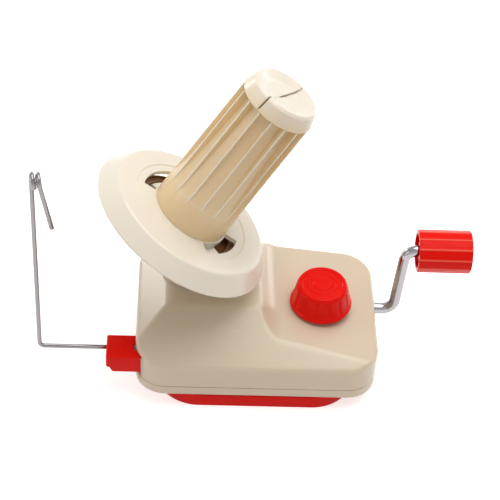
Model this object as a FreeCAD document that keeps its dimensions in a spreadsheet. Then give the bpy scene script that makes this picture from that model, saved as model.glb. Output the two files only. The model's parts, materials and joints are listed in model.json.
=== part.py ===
import FreeCAD, Part
import math
import os
import re

import Sketcher

# A hand-cranked yarn cone winder.  All sizes are in millimetres and degrees.
# Row frame: +Z up, +X towards the crank, -Y towards the user.  The origin is the
# middle of the clamp jaw's underside, on which the machine stands when it is closed.

# ---------------------------------------------------------------- driving sizes
SIZES = {
    # clamp jaw
    "jaw_width": 100.0,
    "jaw_depth": 79.0,
    "jaw_corner": 22.0,
    "jaw_height": 7.5,
    "jaw_plate": 3.0,
    "jaw_rim": 3.0,
    "pad_thickness": 1.0,
    "pad_margin": 5.0,
    "jaw_gap": 0.3,
    # housing
    "base_width": 120.0,
    "base_depth": 81.0,
    "base_corner": 15.0,
    "lower_band": 5.4,
    "floor_thickness": 2.4,
    "wall": 2.4,
    "wall_top": 18.8,
    "front_slope": 31.2,
    "panel_right": 21.0,
    "panel_slope": 6.6,
    "hump_height": 36.0,
    "hump_edge": 3.0,
    "hump_wall_slope": 75.0,
    "left_wall_top": 25.0,
    "left_slope": 35.0,
    "back_wall_top": 28.5,
    "back_slope": 38.0,
    "valley_radius": 8.0,
    "brow_radius": 5.0,
    # main shaft and its tower
    "axis_x": -34.3,
    "axis_y": 10.0,
    "apex_height": 77.2,
    "tilt": 31.6,
    "heading": 9.0,
    "shaft_radius": 3.0,
    "pinion_seat_radius": 2.0,
    "bush_wall": 1.35,
    "running_clearance": 0.05,
    "neck_radius": 11.0,
    "neck_height": 42.0,
    "tower_radius": 7.6,
    "tower_clearance": 0.2,
    "tower_flange_radius": 14.2,
    "tower_flange": 2.6,
    "tower_screw_circle": 11.2,
    "roof_post": 4.0,
    # bevel pair under the disc
    "sun_teeth": 20,
    "planet_teeth": 19,
    "sun_cone_length": 34.0,
    "sun_face": 6.0,
    "sun_backing": 1.6,
    "spigot_radius": 5.2,
    # bevel pair of the crank
    "crank_teeth": 24,
    "pinion_teeth": 12,
    "crank_module": 0.8,
    "crank_face": 3.4,
    "tooth_backlash": 0.34,
    # carrier
    "hub_radius": 7.5,
    "hub_height": 12.0,
    "sleeve_radius": 6.8,
    "sleeve_low": 24.6,
    "sleeve_high": 6.6,
    "bush_length": 7.0,
    # disc and spindle, along the tilted axis from the disc's top face
    "disc_radius": 47.8,
    "disc_face_radius": 40.9,
    "disc_depth": 9.2,
    "disc_wall": 2.2,
    "disc_step_radius": 30.9,
    "disc_step": 0.7,
    "window_inner": 21.2,
    "window_outer": 26.6,
    "window_sweep": 61.0,
    "spindle_radius": 20.0,
    "spindle_shoulder": 19.0,
    "spindle_tip_radius": 16.4,
    "spindle_length": 82.0,
    "spindle_band": 13.5,
    "spindle_collar": 8.5,
    "spindle_wall": 1.8,
    "core_top_radius": 14.6,
    "fin_count": 16,
    "fin_thickness": 2.6,
    "axle_top": 24.0,
    "axle_bottom": 37.0,
    "yarn_slit": 1.5,
    "dish_depth": 2.6,
    # crank
    "crank_height": 13.0,
    "rod_radius": 2.8,
    "crank_throw": 41.5,
    "crank_foot_x": 70.6,
    "crank_lean": 2.4,
    "crank_bend": 6.5,
    "rod_end_x": 101.5,
    "rib_x": -17.0,
    "rib_thickness": 5.0,
    "rib_width": 17.0,
    "bearing_wall": 1.8,
    # grip
    "grip_start": 78.4,
    "grip_length": 26.5,
    "grip_radius": 10.2,
    "grip_wall": 1.8,
    "grip_end_wall": 2.2,
    "grip_sleeve_radius": 4.6,
    "grip_flutes": 12,
    "grip_flute_radius": 1.5,
    # clamp knob
    "knob_x": 32.0,
    "knob_y": 0.0,
    "knob_seat": 25.6,
    "knob_height": 13.2,
    "knob_base_radius": 15.5,
    "knob_top_radius": 12.7,
    "knob_flutes": 14,
    "knob_wall": 2.2,
    "stem_radius": 6.2,
    "stem_clearance": 0.08,
    "thread_radius": 3.95,
    "nut_radius": 5.3,
    "nut_length": 9.0,
    "rod_flat": 3.3,
    "washer_radius": 9.0,
    "washer_thickness": 0.6,
    # guide arm and yarn wire
    "pivot_x": -57.4,
    "pivot_y": -27.6,
    "arm_bottom": 9.7,
    "arm_height": 10.4,
    "arm_half_width": 7.4,
    "arm_reach": 16.9,
    "pocket_clearance": 0.4,
    "pivot_screw_radius": 1.7,
    "wire_radius": 1.1,
    "wire_offset": 3.4,
    "wire_height": 15.6,
    "wire_reach": 49.9,
    "wire_rise": 111.4,
    "wire_bend": 2.5,
    "loop_radius": 3.1,
    "loop_pitch": 2.9,
    "tail_length": 25.1,
    "tail_lean": 10.5,
    # small fits
    "fit_clearance": 0.02,
    "rod_clearance": 0.08,
    "pin_radius": 1.0,
    "clip_gap": 2.4,
    "tooth_addendum": 0.8,
    "tooth_dedendum": 1.15,
    "tooth_angle": 22.0,
    "tower_post_radius": 2.9,
    "tongue_height": 1.2,
    "crank_boss_length": 8.0,
    "crank_boss_radius": 6.0,
    "crank_end_x": -31.2,
    "pivot_post_radius": 4.0,
    "arm_hub_bottom": 6.0,
    "arm_hub_radius": 4.4,
    "arm_recess": 2.6,
    "arm_screw_head_radius": 3.2,
    "arm_fold": 40.0,
    "disc_hub": 6.0,
    "disc_hub_radius": 8.0,
    "window_heading": -50.0,
    "spindle_screw_circle": 14.0,
    "spindle_hub_radius": 6.0,
    "collar_gap": 0.0,
    "plug_depth": 6.0,
    "slit_floor": 0.0,
    "slit_heading": 40.0,
    "base_pad_thickness": 0.8,
    "pad_left": -34.0,
    "pad_right": 20.0,
    "pad_half": 17.0,
    "stem_foot": 3.0,
    "knob_ring_radius": 6.0,
    "knob_flute_depth": 0.7,
    "knob_flute_width": 2.2,
    "rod_spigot_radius": 2.5,
    "rod_boss_radius": 9.0,
    "rod_nut_across": 9.0,
    "rod_nut_height": 2.6,
    "wire_inner_end": 9.0,
    "clip_slot_start": 10.2,
    "tail_bend": 8.0,
    # small screws
    "screw_x": 49.0,
    "screw_y": 30.0,
    "front_screw_x": -38.0,
    "screw_reach": 13.5,
    "screw_radius": 1.5,
    "screw_head_radius": 2.8,
    "screw_head": 1.8,
    "boss_radius": 3.8,
}

# ------------------------------------------------------------- derived formulas
DERIVED = {
    "base_z": "jaw_height + pad_thickness + jaw_gap",
    "half_width": "base_width / 2",
    "half_depth": "base_depth / 2",
    "shaft_bore": "shaft_radius + running_clearance",
    "bush_outer": "shaft_radius + running_clearance + bush_wall",
    "rod_bore": "rod_radius + running_clearance",
    # cone angles of the two bevel pairs
    "sun_cone": "atan(sin(tilt) / (planet_teeth / sun_teeth + cos(tilt)))",
    "planet_cone": "atan(sin(tilt) / (sun_teeth / planet_teeth + cos(tilt)))",
    "crank_pitch_radius": "crank_module * crank_teeth / 2",
    "pinion_pitch_radius": "crank_module * pinion_teeth / 2",
    "crank_cone": "atan(crank_teeth / pinion_teeth)",
    "pinion_cone": "atan(pinion_teeth / crank_teeth)",
    "crank_cone_length": "sqrt(crank_pitch_radius ^ 2 + pinion_pitch_radius ^ 2)",
    # heights above the housing's underside
    "sun_heel": "apex_height - sun_cone_length * cos(sun_cone)",
    "sun_toe": "apex_height - (sun_cone_length - sun_face) * cos(sun_cone)",
    "tower_shoulder": "sun_heel - sun_backing",
    "pinion_heel": "crank_height + crank_pitch_radius",
    "pinion_toe": "crank_height + crank_pitch_radius * (1 - crank_face / crank_cone_length)",
    "roof_inside": "hump_height - wall",
    "flange_top": "roof_inside - roof_post",
    "flange_bottom": "flange_top - tower_flange",
    "tower_foot": "flange_bottom - 2",
    "hub_foot": "sun_toe + 1.3",
    "hub_top": "hub_foot + hub_height",
    "knob_foot": "knob_seat + washer_thickness + jaw_gap",
    "knob_top": "knob_foot + knob_height",
    "rod_top": "knob_top - knob_wall - 1.4",
    "nut_foot": "floor_thickness + 1",
    "spindle_foot": "-disc_step",
    "collar_foot": "spindle_length - spindle_collar",
    "planet_heel": "sun_cone_length * cos(planet_cone)",
    "grip_end": "grip_start + grip_length",
    "crank_pin": "crank_height + crank_throw",
    "arm_top": "arm_bottom + arm_height",
    "jaw_low": "0 - base_z",
    "jaw_top": "jaw_low + jaw_height",
}

WORD = re.compile(r"[a-z_][a-z_0-9]*(?!\w|\()")

doc = FreeCAD.newDocument("yarn_cone_winder")
sheet = doc.addObject("Spreadsheet::Sheet", "dims")
for row, (word, size) in enumerate(SIZES.items(), start=1):
    sheet.set(f"A{row}", word)
    sheet.set(f"B{row}", str(size))
    sheet.setAlias(f"B{row}", word)
doc.recompute()


def full(formula):
    """A formula in named sizes, as an expression on the sheet's cells."""

    def expand(match):
        word = match.group(0)
        if word in DERIVED:
            return f"({full(DERIVED[word])})"
        if word in SIZES:
            return f"dims.{word}"
        return word

    return WORD.sub(expand, str(formula))


def number(formula):
    """The value of a formula."""
    found = sheet.evalExpression(full(formula))
    return float(getattr(found, "Value", found))


def bind(thing, prop, formula):
    """Tie one property to a formula."""
    thing.setExpression(prop, full(formula))


# ------------------------------------------------------------------- placements
def spin(x, y, z, degrees):
    """A turn about an axis."""
    return FreeCAD.Rotation(FreeCAD.Vector(x, y, z), degrees)


def seated(x="0", y="0", z="0", turn=None):
    """A placement whose heights count from the housing's underside."""
    base = FreeCAD.Vector(number(x), number(y), number(f"base_z + {z}"))
    return FreeCAD.Placement(base, turn or FreeCAD.Rotation()), (x, y, f"base_z + {z}")


HEADING = number("heading")
TILT_TURN = spin(0, 0, 1, HEADING) * spin(0, 1, 0, number("tilt"))
FLIP = spin(1, 0, 0, 180)
ALONG_X = FreeCAD.Rotation(
    FreeCAD.Vector(0, 0, 1), FreeCAD.Vector(0, -1, 0), FreeCAD.Vector(1, 0, 0), "ZXY"
)
ON_HOUSING = seated()
ON_AXIS = seated("axis_x", "axis_y")
ON_TILT = seated("axis_x", "axis_y", "apex_height", TILT_TURN)
ON_CRANK = seated("0", "axis_y", "crank_height", ALONG_X)
ON_KNOB = seated("knob_x", "knob_y")
ON_PIVOT = seated("pivot_x", "pivot_y")


def place(thing, where):
    """Put an object at a placement and tie its position to the sheet."""
    placement, formulas = where
    thing.Placement = placement
    for axis, formula in zip("xyz", formulas):
        bind(thing, f"Placement.Base.{axis}", formula)


# --------------------------------------------------------------- sketch helpers
def new_body(label, where=ON_HOUSING):
    """An empty body at a placement that is tied to the sheet."""
    body = doc.addObject("PartDesign::Body", label)
    body.Label = label
    place(body, where)
    return body


def origin_feature(body, role):
    """One of the body's own origin planes or axes."""
    return [feature for feature in body.Origin.OriginFeatures if feature.Role == role][0]


def new_sketch(body, role="XZ_Plane", offset=None):
    """A sketch on one of the body's own origin planes."""
    sketch = body.newObject("Sketcher::SketchObject", f"{body.Name}_sketch")
    sketch.AttachmentSupport = [(origin_feature(body, role), "")]
    sketch.MapMode = "FlatFace"
    if offset is not None:
        bind(sketch, "AttachmentOffset.Base.z", offset)
    return sketch


def fix_point(sketch, index, point, x, y):
    """Tie one point of a sketch to a pair of formulas."""
    across = sketch.addConstraint(Sketcher.Constraint("DistanceX", -1, 1, index, point, number(x)))
    bind(sketch, f"Constraints[{across}]", x)
    up = sketch.addConstraint(Sketcher.Constraint("DistanceY", -1, 1, index, point, number(y)))
    bind(sketch, f"Constraints[{up}]", y)


def draw_polygon(sketch, corners):
    """A closed outline through corners given as pairs of formulas."""
    places = [FreeCAD.Vector(number(x), number(y), 0) for x, y in corners]
    first = sketch.GeometryCount
    for index, start in enumerate(places):
        end = places[(index + 1) % len(places)]
        sketch.addGeometry(Part.LineSegment(start, end), False)
    for index, (x, y) in enumerate(corners):
        following = first + (index + 1) % len(corners)
        sketch.addConstraint(Sketcher.Constraint("Coincident", first + index, 2, following, 1))
        fix_point(sketch, first + index, 1, x, y)
    return sketch


def draw_circle(sketch, x, y, radius):
    """A circle whose centre and radius are formulas."""
    centre = FreeCAD.Vector(number(x), number(y), 0)
    axis = FreeCAD.Vector(0, 0, 1)
    index = sketch.addGeometry(Part.Circle(centre, axis, number(radius)), False)
    size = sketch.addConstraint(Sketcher.Constraint("Radius", index, number(radius)))
    bind(sketch, f"Constraints[{size}]", radius)
    fix_point(sketch, index, 3, x, y)
    return sketch


def draw_box(sketch, x0, x1, y0, y1):
    """A closed rectangle between named limits."""
    return draw_polygon(sketch, [(x0, y0), (x1, y0), (x1, y1), (x0, y1)])


# -------------------------------------------------------------- feature helpers
def add(body, kind, sketch):
    """A feature of some kind that is made from a sketch."""
    feature = body.newObject(f"PartDesign::{kind}", f"{body.Name}_{kind}")
    feature.Profile = sketch
    sketch.Visibility = False
    return feature


def pad(body, sketch, length, midplane=False, reverse=False):
    """Material grown from a sketch."""
    feature = add(body, "Pad", sketch)
    bind(feature, "Length", length)
    feature.Midplane = midplane
    feature.Reversed = reverse
    return feature


def pocket(body, sketch, length=None, midplane=False, reverse=False):
    """Material taken away under a sketch, right through when no length is given."""
    feature = add(body, "Pocket", sketch)
    if length is None:
        feature.Type = "ThroughAll"
    else:
        bind(feature, "Length", length)
    feature.Midplane = midplane
    feature.Reversed = reverse
    return feature


def revolve(body, sketch):
    """A sketch turned about its own upright axis."""
    feature = add(body, "Revolution", sketch)
    feature.ReferenceAxis = (sketch, ["V_Axis"])
    feature.Angle = 360
    return feature


def polar(body, features, count):
    """Copies of features round the body's own Z axis."""
    pattern = body.newObject("PartDesign::PolarPattern", f"{body.Name}_pattern")
    pattern.Originals = features
    pattern.Axis = (origin_feature(body, "Z_Axis"), [""])
    pattern.Angle = 360
    bind(pattern, "Occurrences", count)
    body.Tip = pattern
    return pattern


def edges_where(shape, test):
    """Names of the edges that a test picks."""
    return [f"Edge{n}" for n, edge in enumerate(shape.Edges, start=1) if test(edge)]


def round_edges(body, test, radius):
    """A fillet on the picked edges of the body's last feature."""
    doc.recompute()
    last = body.Tip
    names = edges_where(last.Shape, test)
    feature = body.newObject("PartDesign::Fillet", f"{body.Name}_fillet")
    feature.Base = (last, names)
    bind(feature, "Radius", radius)
    return feature


def is_upright(edge):
    """A straight edge along the body's Z."""
    if not isinstance(edge.Curve, Part.Line):
        return False
    return abs(edge.Curve.Direction.z) > 0.999


def touches(edge, x, z):
    """A straight edge along Y through one point of the XZ plane."""
    if not isinstance(edge.Curve, Part.Line) or abs(edge.Curve.Direction.y) < 0.999:
        return False
    end = edge.Vertexes[0].Point
    return abs(end.x - number(x)) < 0.05 and abs(end.z - number(z)) < 0.05


def turned(label, where, corners):
    """A turned piece: a closed outline of radius and height, revolved about Z."""
    body = new_body(label, where)
    revolve(body, draw_polygon(new_sketch(body), corners))
    return body


def tube(label, where, inner, outer, low, high):
    """A plain ring or bush."""
    corners = [(inner, low), (outer, low), (outer, high), (inner, high)]
    return turned(label, where, corners)


def cylinder(name, x, y, low, high, radius):
    """An upright cylinder between two heights above the housing's underside."""
    shape = doc.addObject("Part::Cylinder", name)
    bind(shape, "Radius", radius)
    bind(shape, "Height", f"({high}) - ({low})")
    place(shape, seated(x, y, f"({low})"))
    return shape


def block(name, x0, x1, y0, y1, low, high):
    """A box between named limits above the housing's underside."""
    shape = doc.addObject("Part::Box", name)
    bind(shape, "Length", f"({x1}) - ({x0})")
    bind(shape, "Width", f"({y1}) - ({y0})")
    bind(shape, "Height", f"({high}) - ({low})")
    place(shape, seated(f"({x0})", f"({y0})", f"({low})"))
    return shape


def joined(name, shapes):
    """Solids fused into one."""
    fusion = doc.addObject("Part::MultiFuse", name)
    fusion.Shapes = shapes
    return fusion


def cut(name, base, tool):
    """One solid less another."""
    result = doc.addObject("Part::Cut", name)
    result.Label = name
    result.Base = base
    result.Tool = tool
    return result


def common(name, base, tool):
    """What two solids share."""
    result = doc.addObject("Part::Common", name)
    result.Base = base
    result.Tool = tool
    return result


pieces = []


def keep(piece):
    """Count an object as one of the machine's pieces."""
    pieces.append(piece)
    return piece


# ---------------------------------------------------------------------- housing
def rounded_slab(label, inset, low, high):
    """The housing's rounded plan, drawn in by an inset, between two heights."""
    body = new_body(label, seated("0", "0", f"({low})"))
    across = f"(half_width - ({inset}))"
    deep = f"(half_depth - ({inset}))"
    sketch = draw_box(new_sketch(body, "XY_Plane"), f"-{across}", across, f"-{deep}", deep)
    pad(body, sketch, f"({high}) - ({low})")
    round_edges(body, is_upright, f"base_corner - ({inset})")
    return body


def housing_form(label, inset, low):
    """The sculpted upper form: a slab cut by the front slope, the panel and the shoulders.

    Heights in its sketches are from the housing's underside, so it is built at z = 0.
    """
    body = new_body(label)
    across = f"(half_width - ({inset}))"
    deep = f"(half_depth - ({inset}))"
    roof = f"(hump_height - ({inset}))"
    sky = "(hump_height + 10)"
    outside = "(half_width + 10)"
    front = "(half_depth + 10)"
    slab = new_sketch(body, "XY_Plane", low)
    pad(body, draw_box(slab, f"-{across}", across, f"-{deep}", deep), f"{roof} - ({low})")
    round_edges(body, is_upright, f"base_corner - ({inset})")

    # tilted panel on the right, with the hump's steep right wall
    sink = f"({inset}) / cos(panel_slope)"
    shift = f"({inset}) / sin(hump_wall_slope)"
    panel_left = f"panel_right + half_width * tan(panel_slope) - {sink}"
    edge = f"(hump_edge - {shift})"
    # foot of the wall, where both lines meet
    rise = f"(hump_height - ({panel_left}) + {edge} * tan(panel_slope))"
    reach = f"{rise} / (tan(hump_wall_slope) - tan(panel_slope))"
    foot_x = f"({edge} + {reach})"
    foot_z = f"({panel_left}) - {foot_x} * tan(panel_slope)"
    right_z = f"({panel_left}) - {outside} * tan(panel_slope)"
    top_x = f"({edge} - 10 / tan(hump_wall_slope))"
    panel = draw_polygon(
        new_sketch(body, "XZ_Plane"),
        [(top_x, sky), (foot_x, foot_z), (outside, right_z), (outside, sky)],
    )
    pocket(body, panel, midplane=True)

    # the concave foot of that wall
    round_edges(body, lambda edge: touches(edge, foot_x, foot_z), f"valley_radius + ({inset})")

    # front slope, rising away from the front wall's top edge
    drop = f"({inset}) / cos(front_slope)"
    line_low = f"wall_top - {drop} - 10 * tan(front_slope)"
    line_far = f"-half_depth + ({sky} - wall_top + {drop}) / tan(front_slope)"
    slope = draw_polygon(
        new_sketch(body, "YZ_Plane"), [(f"-{front}", line_low), (line_far, sky), (f"-{front}", sky)]
    )
    pocket(body, slope, midplane=True)

    # left shoulder
    lower = f"({inset}) / cos(left_slope)"
    left_z = f"left_wall_top - {lower} - 10 * tan(left_slope)"
    left_x = f"-half_width + ({sky} - left_wall_top + {lower}) / tan(left_slope)"
    left = draw_polygon(
        new_sketch(body, "XZ_Plane"), [(f"-{outside}", left_z), (left_x, sky), (f"-{outside}", sky)]
    )
    pocket(body, left, midplane=True)

    # back shoulder
    lower = f"({inset}) / cos(back_slope)"
    back_z = f"back_wall_top - {lower} - 10 * tan(back_slope)"
    back_y = f"half_depth - ({sky} - back_wall_top + {lower}) / tan(back_slope)"
    back = draw_polygon(
        new_sketch(body, "YZ_Plane"), [(front, back_z), (back_y, sky), (front, sky)]
    )
    pocket(body, back, midplane=True)
    return body


# ------------------------------------------------------------------ gear blanks
def bevel_gear(label, where, teeth, length, cone, face, bore, hub, hub_radius):
    """A straight bevel gear whose cone meets in the body's origin, opening along +Z.

    The teeth are lofted from the large end to the small one, which is the same outline
    drawn in towards the cone's tip; hub is the solid length behind the large end.
    """
    body = new_body(label, where)
    shrink = f"(1 - ({face}) / ({length}))"
    heel = f"({length}) * cos({cone})"
    pitch = f"({length}) * sin({cone})"
    module = f"(2 * {pitch} / {teeth})"
    tip = f"({pitch} + tooth_addendum * {module} / cos({cone}))"
    root = f"({pitch} - tooth_dedendum * {module} / cos({cone}))"
    corners = [
        (bore, f"{heel} * {shrink}"),
        (f"{root} * {shrink}", f"{heel} * {shrink}"),
        (root, heel),
        (hub_radius, f"{heel} + 0.01"),
        (hub_radius, f"{heel} + ({hub})"),
        (bore, f"{heel} + ({hub})"),
    ]
    revolve(body, draw_polygon(new_sketch(body), corners))

    half = f"(3.14159265 * {module} / 4 - tooth_backlash / 4)"
    flank = "tan(tooth_angle)"
    tip_half = f"({half} - tooth_addendum * {module} * {flank})"
    root_half = f"({half} + tooth_dedendum * {module} * {flank})"
    sunk = f"({root} - 0.35 * {module})"

    def section(height, scale):
        outline = [
            (f"{sunk} * {scale}", f"-{root_half} * {scale}"),
            (f"{root} * {scale}", f"-{root_half} * {scale}"),
            (f"{tip} * {scale}", f"-{tip_half} * {scale}"),
            (f"{tip} * {scale}", f"{tip_half} * {scale}"),
            (f"{root} * {scale}", f"{root_half} * {scale}"),
            (f"{sunk} * {scale}", f"{root_half} * {scale}"),
        ]
        return draw_polygon(new_sketch(body, "XY_Plane", height), outline)

    tooth = body.newObject("PartDesign::AdditiveLoft", f"{label}_tooth")
    tooth.Profile = section(heel, "1")
    tooth.Sections = [section(f"{heel} * {shrink}", shrink)]
    tooth.Ruled = True
    polar(body, [tooth], teeth)

    # the back cone squares the teeth off at their large end
    rise, fall = f"({length}) * sin({cone})", f"({length}) * cos({cone})"
    trim = draw_polygon(new_sketch(body), [
        (f"{rise} - 0.02 * {module}", fall),
        (f"{rise} + 4 * {module} * cos({cone})", f"{fall} - 4 * {module} * sin({cone})"),
        (f"{rise} + 4 * {module}", f"{fall} + {module}"),
        (f"{rise} - 0.02 * {module}", f"{fall} + {module}"),
    ])
    groove = add(body, "Groove", trim)
    groove.ReferenceAxis = (trim, ["V_Axis"])
    groove.Angle = 360
    return body


def clip(label, where, low, inner, outer, thickness):
    """A retaining ring with a gap, as an E-clip has."""
    body = tube(label, where, inner, outer, low, f"{low} + {thickness}")
    gap = new_sketch(body, "XY_Plane", low)
    draw_box(gap, "0", f"{outer} + 1", "-clip_gap / 2", "clip_gap / 2")
    pocket(body, gap, f"{thickness}", reverse=True)
    return body


# ------------------------------------------------------------- arm pocket shapes
def arm_zone(name, margin, low, high):
    """The room the guide arm's inner end sweeps, as a prism about the pivot."""
    head = cylinder(f"{name}_head", "pivot_x", "pivot_y", low, high, f"arm_half_width + {margin}")
    side = f"(arm_half_width + {margin})"
    straight = block(
        f"{name}_straight", "pivot_x - 20", "pivot_x",
        f"pivot_y - {side}", f"pivot_y + {side}", low, high,
    )
    folded = new_body(f"{name}_folded", ON_PIVOT)
    folded.Placement.Rotation = spin(0, 0, 1, -number("arm_fold"))
    sketch = new_sketch(folded, "XY_Plane", low)
    pad(folded, draw_box(sketch, "-20", "0", f"-{side}", side), f"({high}) - ({low})")
    return joined(name, [head, straight, folded])


SCREW_PLACES = [
    ("front_screw_x", "-screw_y - 2"),
    ("screw_x", "-screw_y"),
    ("screw_x", "screw_y"),
    ("-screw_x", "screw_y"),
]


def at_screws(name, low, high, radius):
    """Upright cylinders at the four shell screws."""
    return joined(name, [
        cylinder(f"{name}_{n}", x, y, low, high, radius)
        for n, (x, y) in enumerate(SCREW_PLACES, start=1)
    ])


def along_x(name, low_x, high_x, radius):
    """A cylinder on the crank's axis between two places along X."""
    shape = doc.addObject("Part::Cylinder", name)
    bind(shape, "Radius", radius)
    bind(shape, "Height", f"({high_x}) - ({low_x})")
    place(shape, seated(f"({low_x})", "axis_y", "crank_height", ALONG_X))
    return shape


# ------------------------------------------------------------------ upper shell
outer_form = housing_form("outer_form", "0", "lower_band")
round_edges(
    outer_form,
    lambda edge: max(v.Point.z for v in edge.Vertexes) > number("hump_height") - 0.1,
    "brow_radius",
)

cavity = housing_form("cavity_form", "wall", "lower_band - 2")
shell_walls = cut("shell_walls", outer_form, cavity)

inner_parts = joined("inner_parts", [
    block("rib", "rib_x - rib_thickness / 2", "rib_x + rib_thickness / 2",
          "axis_y - rib_width / 2", "axis_y + rib_width / 2", "crank_height - 6.5", "hump_height"),
    along_x("crank_boss", "half_width - crank_boss_length", "half_width - 0.5", "crank_boss_radius"),
    at_screws("upper_posts", "lower_band", "hump_height", "boss_radius"),
    arm_zone("pocket_walls", "pocket_clearance + wall - 0.6", "lower_band", "arm_top + 2.2"),
    cylinder("knob_boss", "knob_x", "knob_y", "crank_height + 4.4", "knob_seat - 1", "stem_radius + 2.6"),
])
inner_form = housing_form("inner_limit", "0.6", "lower_band")
inner_clipped = common("inner_clipped", inner_form, inner_parts)
tower_posts = joined("tower_posts", [
    cylinder(
        f"tower_post_{n}",
        f"axis_x + tower_screw_circle * cos({angle})",
        f"axis_y + tower_screw_circle * sin({angle})",
        "flange_top", "hump_height - 1", "tower_post_radius",
    )
    for n, angle in enumerate((0, 120, 240), start=1)
])
upper_solid = joined("upper_solid", [
    shell_walls,
    inner_clipped,
    tower_posts,
    cylinder("neck", "axis_x", "axis_y", "roof_inside", "neck_height", "neck_radius"),
    cylinder("knob_seat_ring", "knob_x", "knob_y", "panel_right + 1", "knob_seat", "washer_radius + 0.6"),
])
upper_holes = joined("upper_holes", [
    cylinder("tower_hole", "axis_x", "axis_y", "lower_band", "neck_height + 1",
             "tower_radius + tower_clearance"),
    cylinder("knob_hole", "knob_x", "knob_y", "lower_band", "knob_seat + 1",
             "stem_radius + stem_clearance"),
    along_x("crank_hole", "rib_x - rib_thickness", "half_width + 1",
            "rod_bore + bearing_wall + fit_clearance"),
    arm_zone("arm_pocket", "pocket_clearance", "lower_band - 1", "arm_top + jaw_gap"),
    at_screws("upper_screw_holes", "lower_band - 1", "screw_reach + 1", "screw_radius + 0.05"),
] + [
    cylinder(
        f"tower_screw_hole_{n}",
        f"axis_x + tower_screw_circle * cos({angle})",
        f"axis_y + tower_screw_circle * sin({angle})",
        "flange_top - 1", "flange_top + 4.6", "screw_radius + 0.05",
    )
    for n, angle in enumerate((0, 120, 240), start=1)
])
keep(cut("upper_shell", upper_solid, upper_holes))

# ------------------------------------------------------------------ lower shell
lower_tray = cut(
    "lower_tray",
    rounded_slab("lower_slab", "0", "0", "lower_band"),
    rounded_slab("lower_room", "wall", "floor_thickness", "lower_band + 1"),
)
tongue = cut(
    "tongue",
    rounded_slab("tongue_outside", "wall + 0.25", "floor_thickness", "lower_band + tongue_height"),
    joined("tongue_inside", [
        rounded_slab("tongue_room", "wall + 1.45", "floor_thickness - 1", "lower_band + 3"),
        block("tongue_gap", "-half_width", "front_screw_x + 2", "-half_depth", "-5",
              "lower_band - 0.1", "lower_band + 3"),
        block("tongue_crank_gap", "half_width - 8", "half_width", "axis_y - 8", "axis_y + 8",
              "lower_band - 0.1", "lower_band + 3"),
    ]),
)
pivot_post = common(
    "pivot_post",
    rounded_slab("post_limit", "0", "0", "lower_band + 1"),
    cylinder("pivot_column", "pivot_x", "pivot_y", "0.5", "arm_hub_bottom - jaw_gap", "pivot_post_radius"),
)
stiffeners = joined("stiffeners", [
    block(f"stiffener_{n}", "-half_width + 1", "half_width - 1", f"{y} - 0.8", f"{y} + 0.8",
          "floor_thickness - 0.5", "lower_band - 0.6")
    for n, y in enumerate(("-20", "22"), start=1)
])
lower_solid = joined("lower_solid", [
    lower_tray, tongue, pivot_post, stiffeners,
    at_screws("lower_posts", "1", "lower_band", "boss_radius + 0.6"),
])
rod_slot = new_body("rod_slot", ON_KNOB)
pad(rod_slot, draw_box(new_sketch(rod_slot, "XY_Plane", "-1"),
                       "-rod_flat - rod_clearance", "rod_flat + rod_clearance",
                       "-thread_radius - 1", "thread_radius + 1"), "floor_thickness + 2")
rod_hole = common(
    "rod_hole",
    cylinder("rod_round", "knob_x", "knob_y", "-1", "floor_thickness + 1",
             "thread_radius + rod_clearance"),
    rod_slot,
)
lower_holes = joined("lower_holes", [
    rod_hole,
    cylinder("pivot_screw_hole", "pivot_x", "pivot_y", "0.8", "lower_band + 2",
             "pivot_screw_radius + 0.05"),
    at_screws("lower_screw_holes", "-1", "lower_band + 1", "screw_radius + 0.15"),
    at_screws("screw_head_holes", "-1", "screw_head + 0.4", "screw_head_radius + 0.25"),
    block("pad_recess", "pad_left - 0.2", "pad_right + 0.2", "-pad_half - 0.2", "pad_half + 0.2",
          "-1", "base_pad_thickness"),
])
keep(cut("lower_shell", lower_solid, lower_holes))

base_pad = new_body("base_pad", ON_HOUSING)
pad(base_pad, draw_box(new_sketch(base_pad, "XY_Plane"), "pad_left", "pad_right",
                       "-pad_half", "pad_half"), "base_pad_thickness")
round_edges(base_pad, is_upright, "2")
keep(base_pad)


def screw(name, x, y, head_low, shank_low, length, radius, head_radius, head_height, flip=False):
    """A pan-head cross screw; the shank hangs from the head, or stands on it when flipped."""
    turn = FLIP if flip else None
    body = new_body(name, seated(x, y, head_low, turn))
    corners = [
        ("0", f"-{length}"), (radius, f"-{length}"), (radius, "0"), (head_radius, "0"),
        (head_radius, f"{head_height} * 0.55"), (f"{head_radius} * 0.7", head_height),
        ("0", head_height),
    ]
    revolve(body, draw_polygon(new_sketch(body), corners))
    cross = new_sketch(body, "XY_Plane", head_height)
    arm, half = f"{head_radius} * 0.6", f"{head_radius} * 0.13"
    draw_polygon(cross, [
        (f"-{arm}", f"-{half}"), (f"-{half}", f"-{half}"), (f"-{half}", f"-{arm}"),
        (half, f"-{arm}"), (half, f"-{half}"), (arm, f"-{half}"), (arm, half), (half, half),
        (half, arm), (f"-{half}", arm), (f"-{half}", half), (f"-{arm}", half),
    ])
    pocket(body, cross, f"{head_height} * 0.6")
    return body


def screw_set(label, screws):
    group = joined(label, screws)
    group.Label = label
    return keep(group)


screw_set("shell_screws", [
    screw(f"shell_screw_{n}", x, y, "screw_head + 0.3", "0", "(screw_reach - screw_head - 0.3)",
          "screw_radius", "screw_head_radius", "screw_head", flip=True)
    for n, (x, y) in enumerate(SCREW_PLACES, start=1)
])
screw_set("tower_screws", [
    screw(f"tower_screw_{n}",
          f"axis_x + tower_screw_circle * cos({angle})",
          f"axis_y + tower_screw_circle * sin({angle})",
          "flange_bottom - 0.05", "0", "(tower_flange + 4)",
          "screw_radius", "screw_head_radius", "screw_head", flip=True)
    for n, angle in enumerate((0, 120, 240), start=1)
])

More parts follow.
